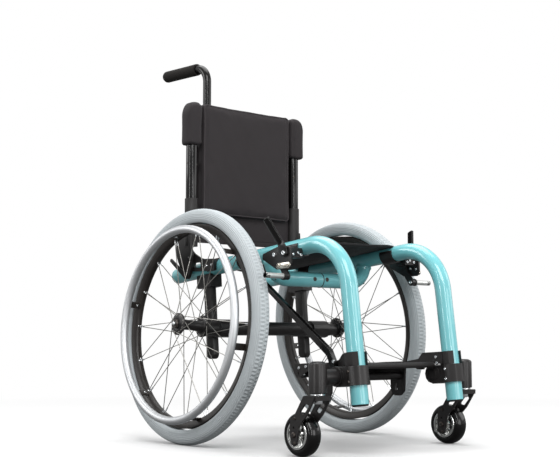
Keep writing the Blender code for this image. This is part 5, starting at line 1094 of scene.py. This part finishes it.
# the halves of the cross tube meet in a ring between two screws
seam = [screw((x, -0.1229, 0.3891), (0, -1, 0.07), 0.0050, 0.0016) for x in (-0.0295, 0.0096)]
addPiece("seam_screws", seam, darkSteel, "chair")
ringProfile = [(0.0166, -0.0013), (0.0183, -0.0013), (0.0186, -0.0008), (0.0186, 0.0008), (0.0183, 0.0013),
               (0.0166, 0.0013)]
seamRing = turned(ringProfile, at(0, crossTube["y"], crossTube["z"]), (1, 0, 0), 64, closed=True)
addPiece("seam_ring", [seamRing], darkSteel, "chair")
footBolts = [screw(place, (-1, 0, 0), radius, tall) for place, radius, tall in (
    ((-0.1426, -0.3087, 0.1980), 0.0040, 0.0026), ((-0.1305, -0.1814, 0.1815), 0.0036, 0.0026),
    ((-0.1305, -0.2043, 0.1846), 0.0036, 0.0026), ((-0.1277, -0.1952, 0.1674), 0.0024, 0.0016))]
footBolts += [screw((side * 0.1225, y, z), (-side, 0, 0), 0.0036, 0.0024)
              for side in (-1, 1) for y, z in ((-0.3667, 0.2057), (-0.3694, 0.1921))]
addPiece("footrest_screws", footBolts, brightSteel, "chair")
print("screws made")


# floor, light and camera

floorSettings = {"size": 14.0, "colour": "#F4F4F4", "unseen": "#666666", "fade": (0.85, 2.3), "nearGlow": 0.05}
half = floorSettings["size"] / 2
mesh = bpy.data.meshes.new("floor")
mesh.from_pydata([(-half, -half, 0), (half, -half, 0), (half, half, 0), (-half, half, 0)], [], [(0, 1, 2, 3)])
floor = bpy.data.objects.new("floor", mesh)
bpy.context.scene.collection.objects.link(floor)
# the paper is white to the camera and grey to every other ray, so that it throws little light up under the chair;
# away from the chair it turns into plain white, so that it has no horizon
paper, tree, shader = newFinish("studio_paper", floorSettings["colour"], 0.9)
place = addNode(tree, "ShaderNodeTexCoord").outputs["Object"]
away = addNode(tree, "ShaderNodeVectorMath", {"operation": "LENGTH"}, {0: place}).outputs["Value"]
near, far = floorSettings["fade"]
fade = addNode(tree, "ShaderNodeMapRange", {"From Min": near, "From Max": far, "To Min": floorSettings["nearGlow"],
                                            "To Max": 1.0}, {"Value": away}).outputs["Result"]
path = addNode(tree, "ShaderNodeLightPath").outputs
shades = {"data_type": "RGBA", 6: colour(floorSettings["unseen"]), 7: colour(floorSettings["colour"])}
paperMix = addNode(tree, "ShaderNodeMix", shades, {0: path["Is Camera Ray"]})
tree.links.new(paperMix.outputs[2], shader.inputs["Base Color"])
amount = addNode(tree, "ShaderNodeMath", {"operation": "MULTIPLY"}, {0: path["Is Camera Ray"], 1: fade}).outputs[0]
glow = addNode(tree, "ShaderNodeEmission", {"Color": (1, 1, 1, 1), "Strength": 1.0}).outputs[0]
both = addNode(tree, "ShaderNodeMixShader", {}, {0: amount, 1: shader.outputs[0], 2: glow}).outputs[0]
tree.links.new(both, tree.nodes["Material Output"].inputs["Surface"])
mesh.materials.append(paper)

# the room is full white to the camera, 0.62 in reflections and 0.52 for everything else
room = {"light": 0.52, "inReflections": 0.10}
world = bpy.data.worlds.new("studio")
world.use_nodes = True
tree = world.node_tree
background = tree.nodes["Background"]
background.inputs["Color"].default_value = (1, 1, 1, 1)
path = addNode(tree, "ShaderNodeLightPath").outputs
reflected = addNode(tree, "ShaderNodeMath", {"operation": "MULTIPLY_ADD", 1: room["inReflections"], 2: room["light"]},
                    {0: path["Is Glossy Ray"]}).outputs[0]
strength = addNode(tree, "ShaderNodeMath", {"operation": "MAXIMUM"},
                   {0: path["Is Camera Ray"], 1: reflected}).outputs[0]
tree.links.new(strength, background.inputs["Strength"])
bpy.context.scene.world = world

# soft square lamps aim at the seat; a narrow upright strip draws a line of light down each round tube
lamps = {"key": {"place": (-1.6, -2.2, 2.6), "size": 1.8, "power": 58},
         "fill": {"place": (2.4, -1.6, 1.5), "size": 1.6, "power": 16},
         "top": {"place": (0.2, 0.4, 3.0), "size": 2.2, "power": 46},
         "rim": {"place": (-2.2, 1.8, 1.6), "size": 1.2, "power": 20},
         "low": {"place": (0.5, -3.0, 0.55), "size": 1.2, "power": 15},
         "left strip": {"place": (-2.97, -0.51, 1.1), "size": 0.14, "tall": 2.0, "power": 17},
         "right strip": {"place": (-1.05, -2.80, 1.1), "size": 0.14, "tall": 2.0, "power": 17}}
for name, lamp in lamps.items():
    light = bpy.data.lights.new(name, "AREA")
    light.size = lamp["size"]
    light.energy = lamp["power"]
    if "tall" in lamp:
        light.shape = "RECTANGLE"
        light.size_y = lamp["tall"]
    holder = bpy.data.objects.new(name, light)
    place = np.array(lamp["place"])
    axis = unit(place - np.array((0, 0, place[2] if "tall" in lamp else 0.4)))
    holder.visible_diffuse = "tall" not in lamp
    holder.location = place
    holder.rotation_euler = (math.acos(axis[2]), 0, math.atan2(axis[0], -axis[1]))
    bpy.context.scene.collection.objects.link(holder)

# the camera stands where the one fitted to the photograph does
view = {"place": (-1.7506, -2.1131 + behind, 0.2423), "turn": (math.pi / 2 + 0.1036, 0, -0.6984), "lens": 69.49}
camera = bpy.data.cameras.new("camera")
camera.lens = view["lens"]
camera.sensor_width = 36
holder = bpy.data.objects.new("camera", camera)
holder.location = view["place"]
holder.rotation_euler = view["turn"]
bpy.context.scene.collection.objects.link(holder)
bpy.context.scene.camera = holder
bpy.context.scene.view_settings.view_transform = "Standard"
print("stage made")
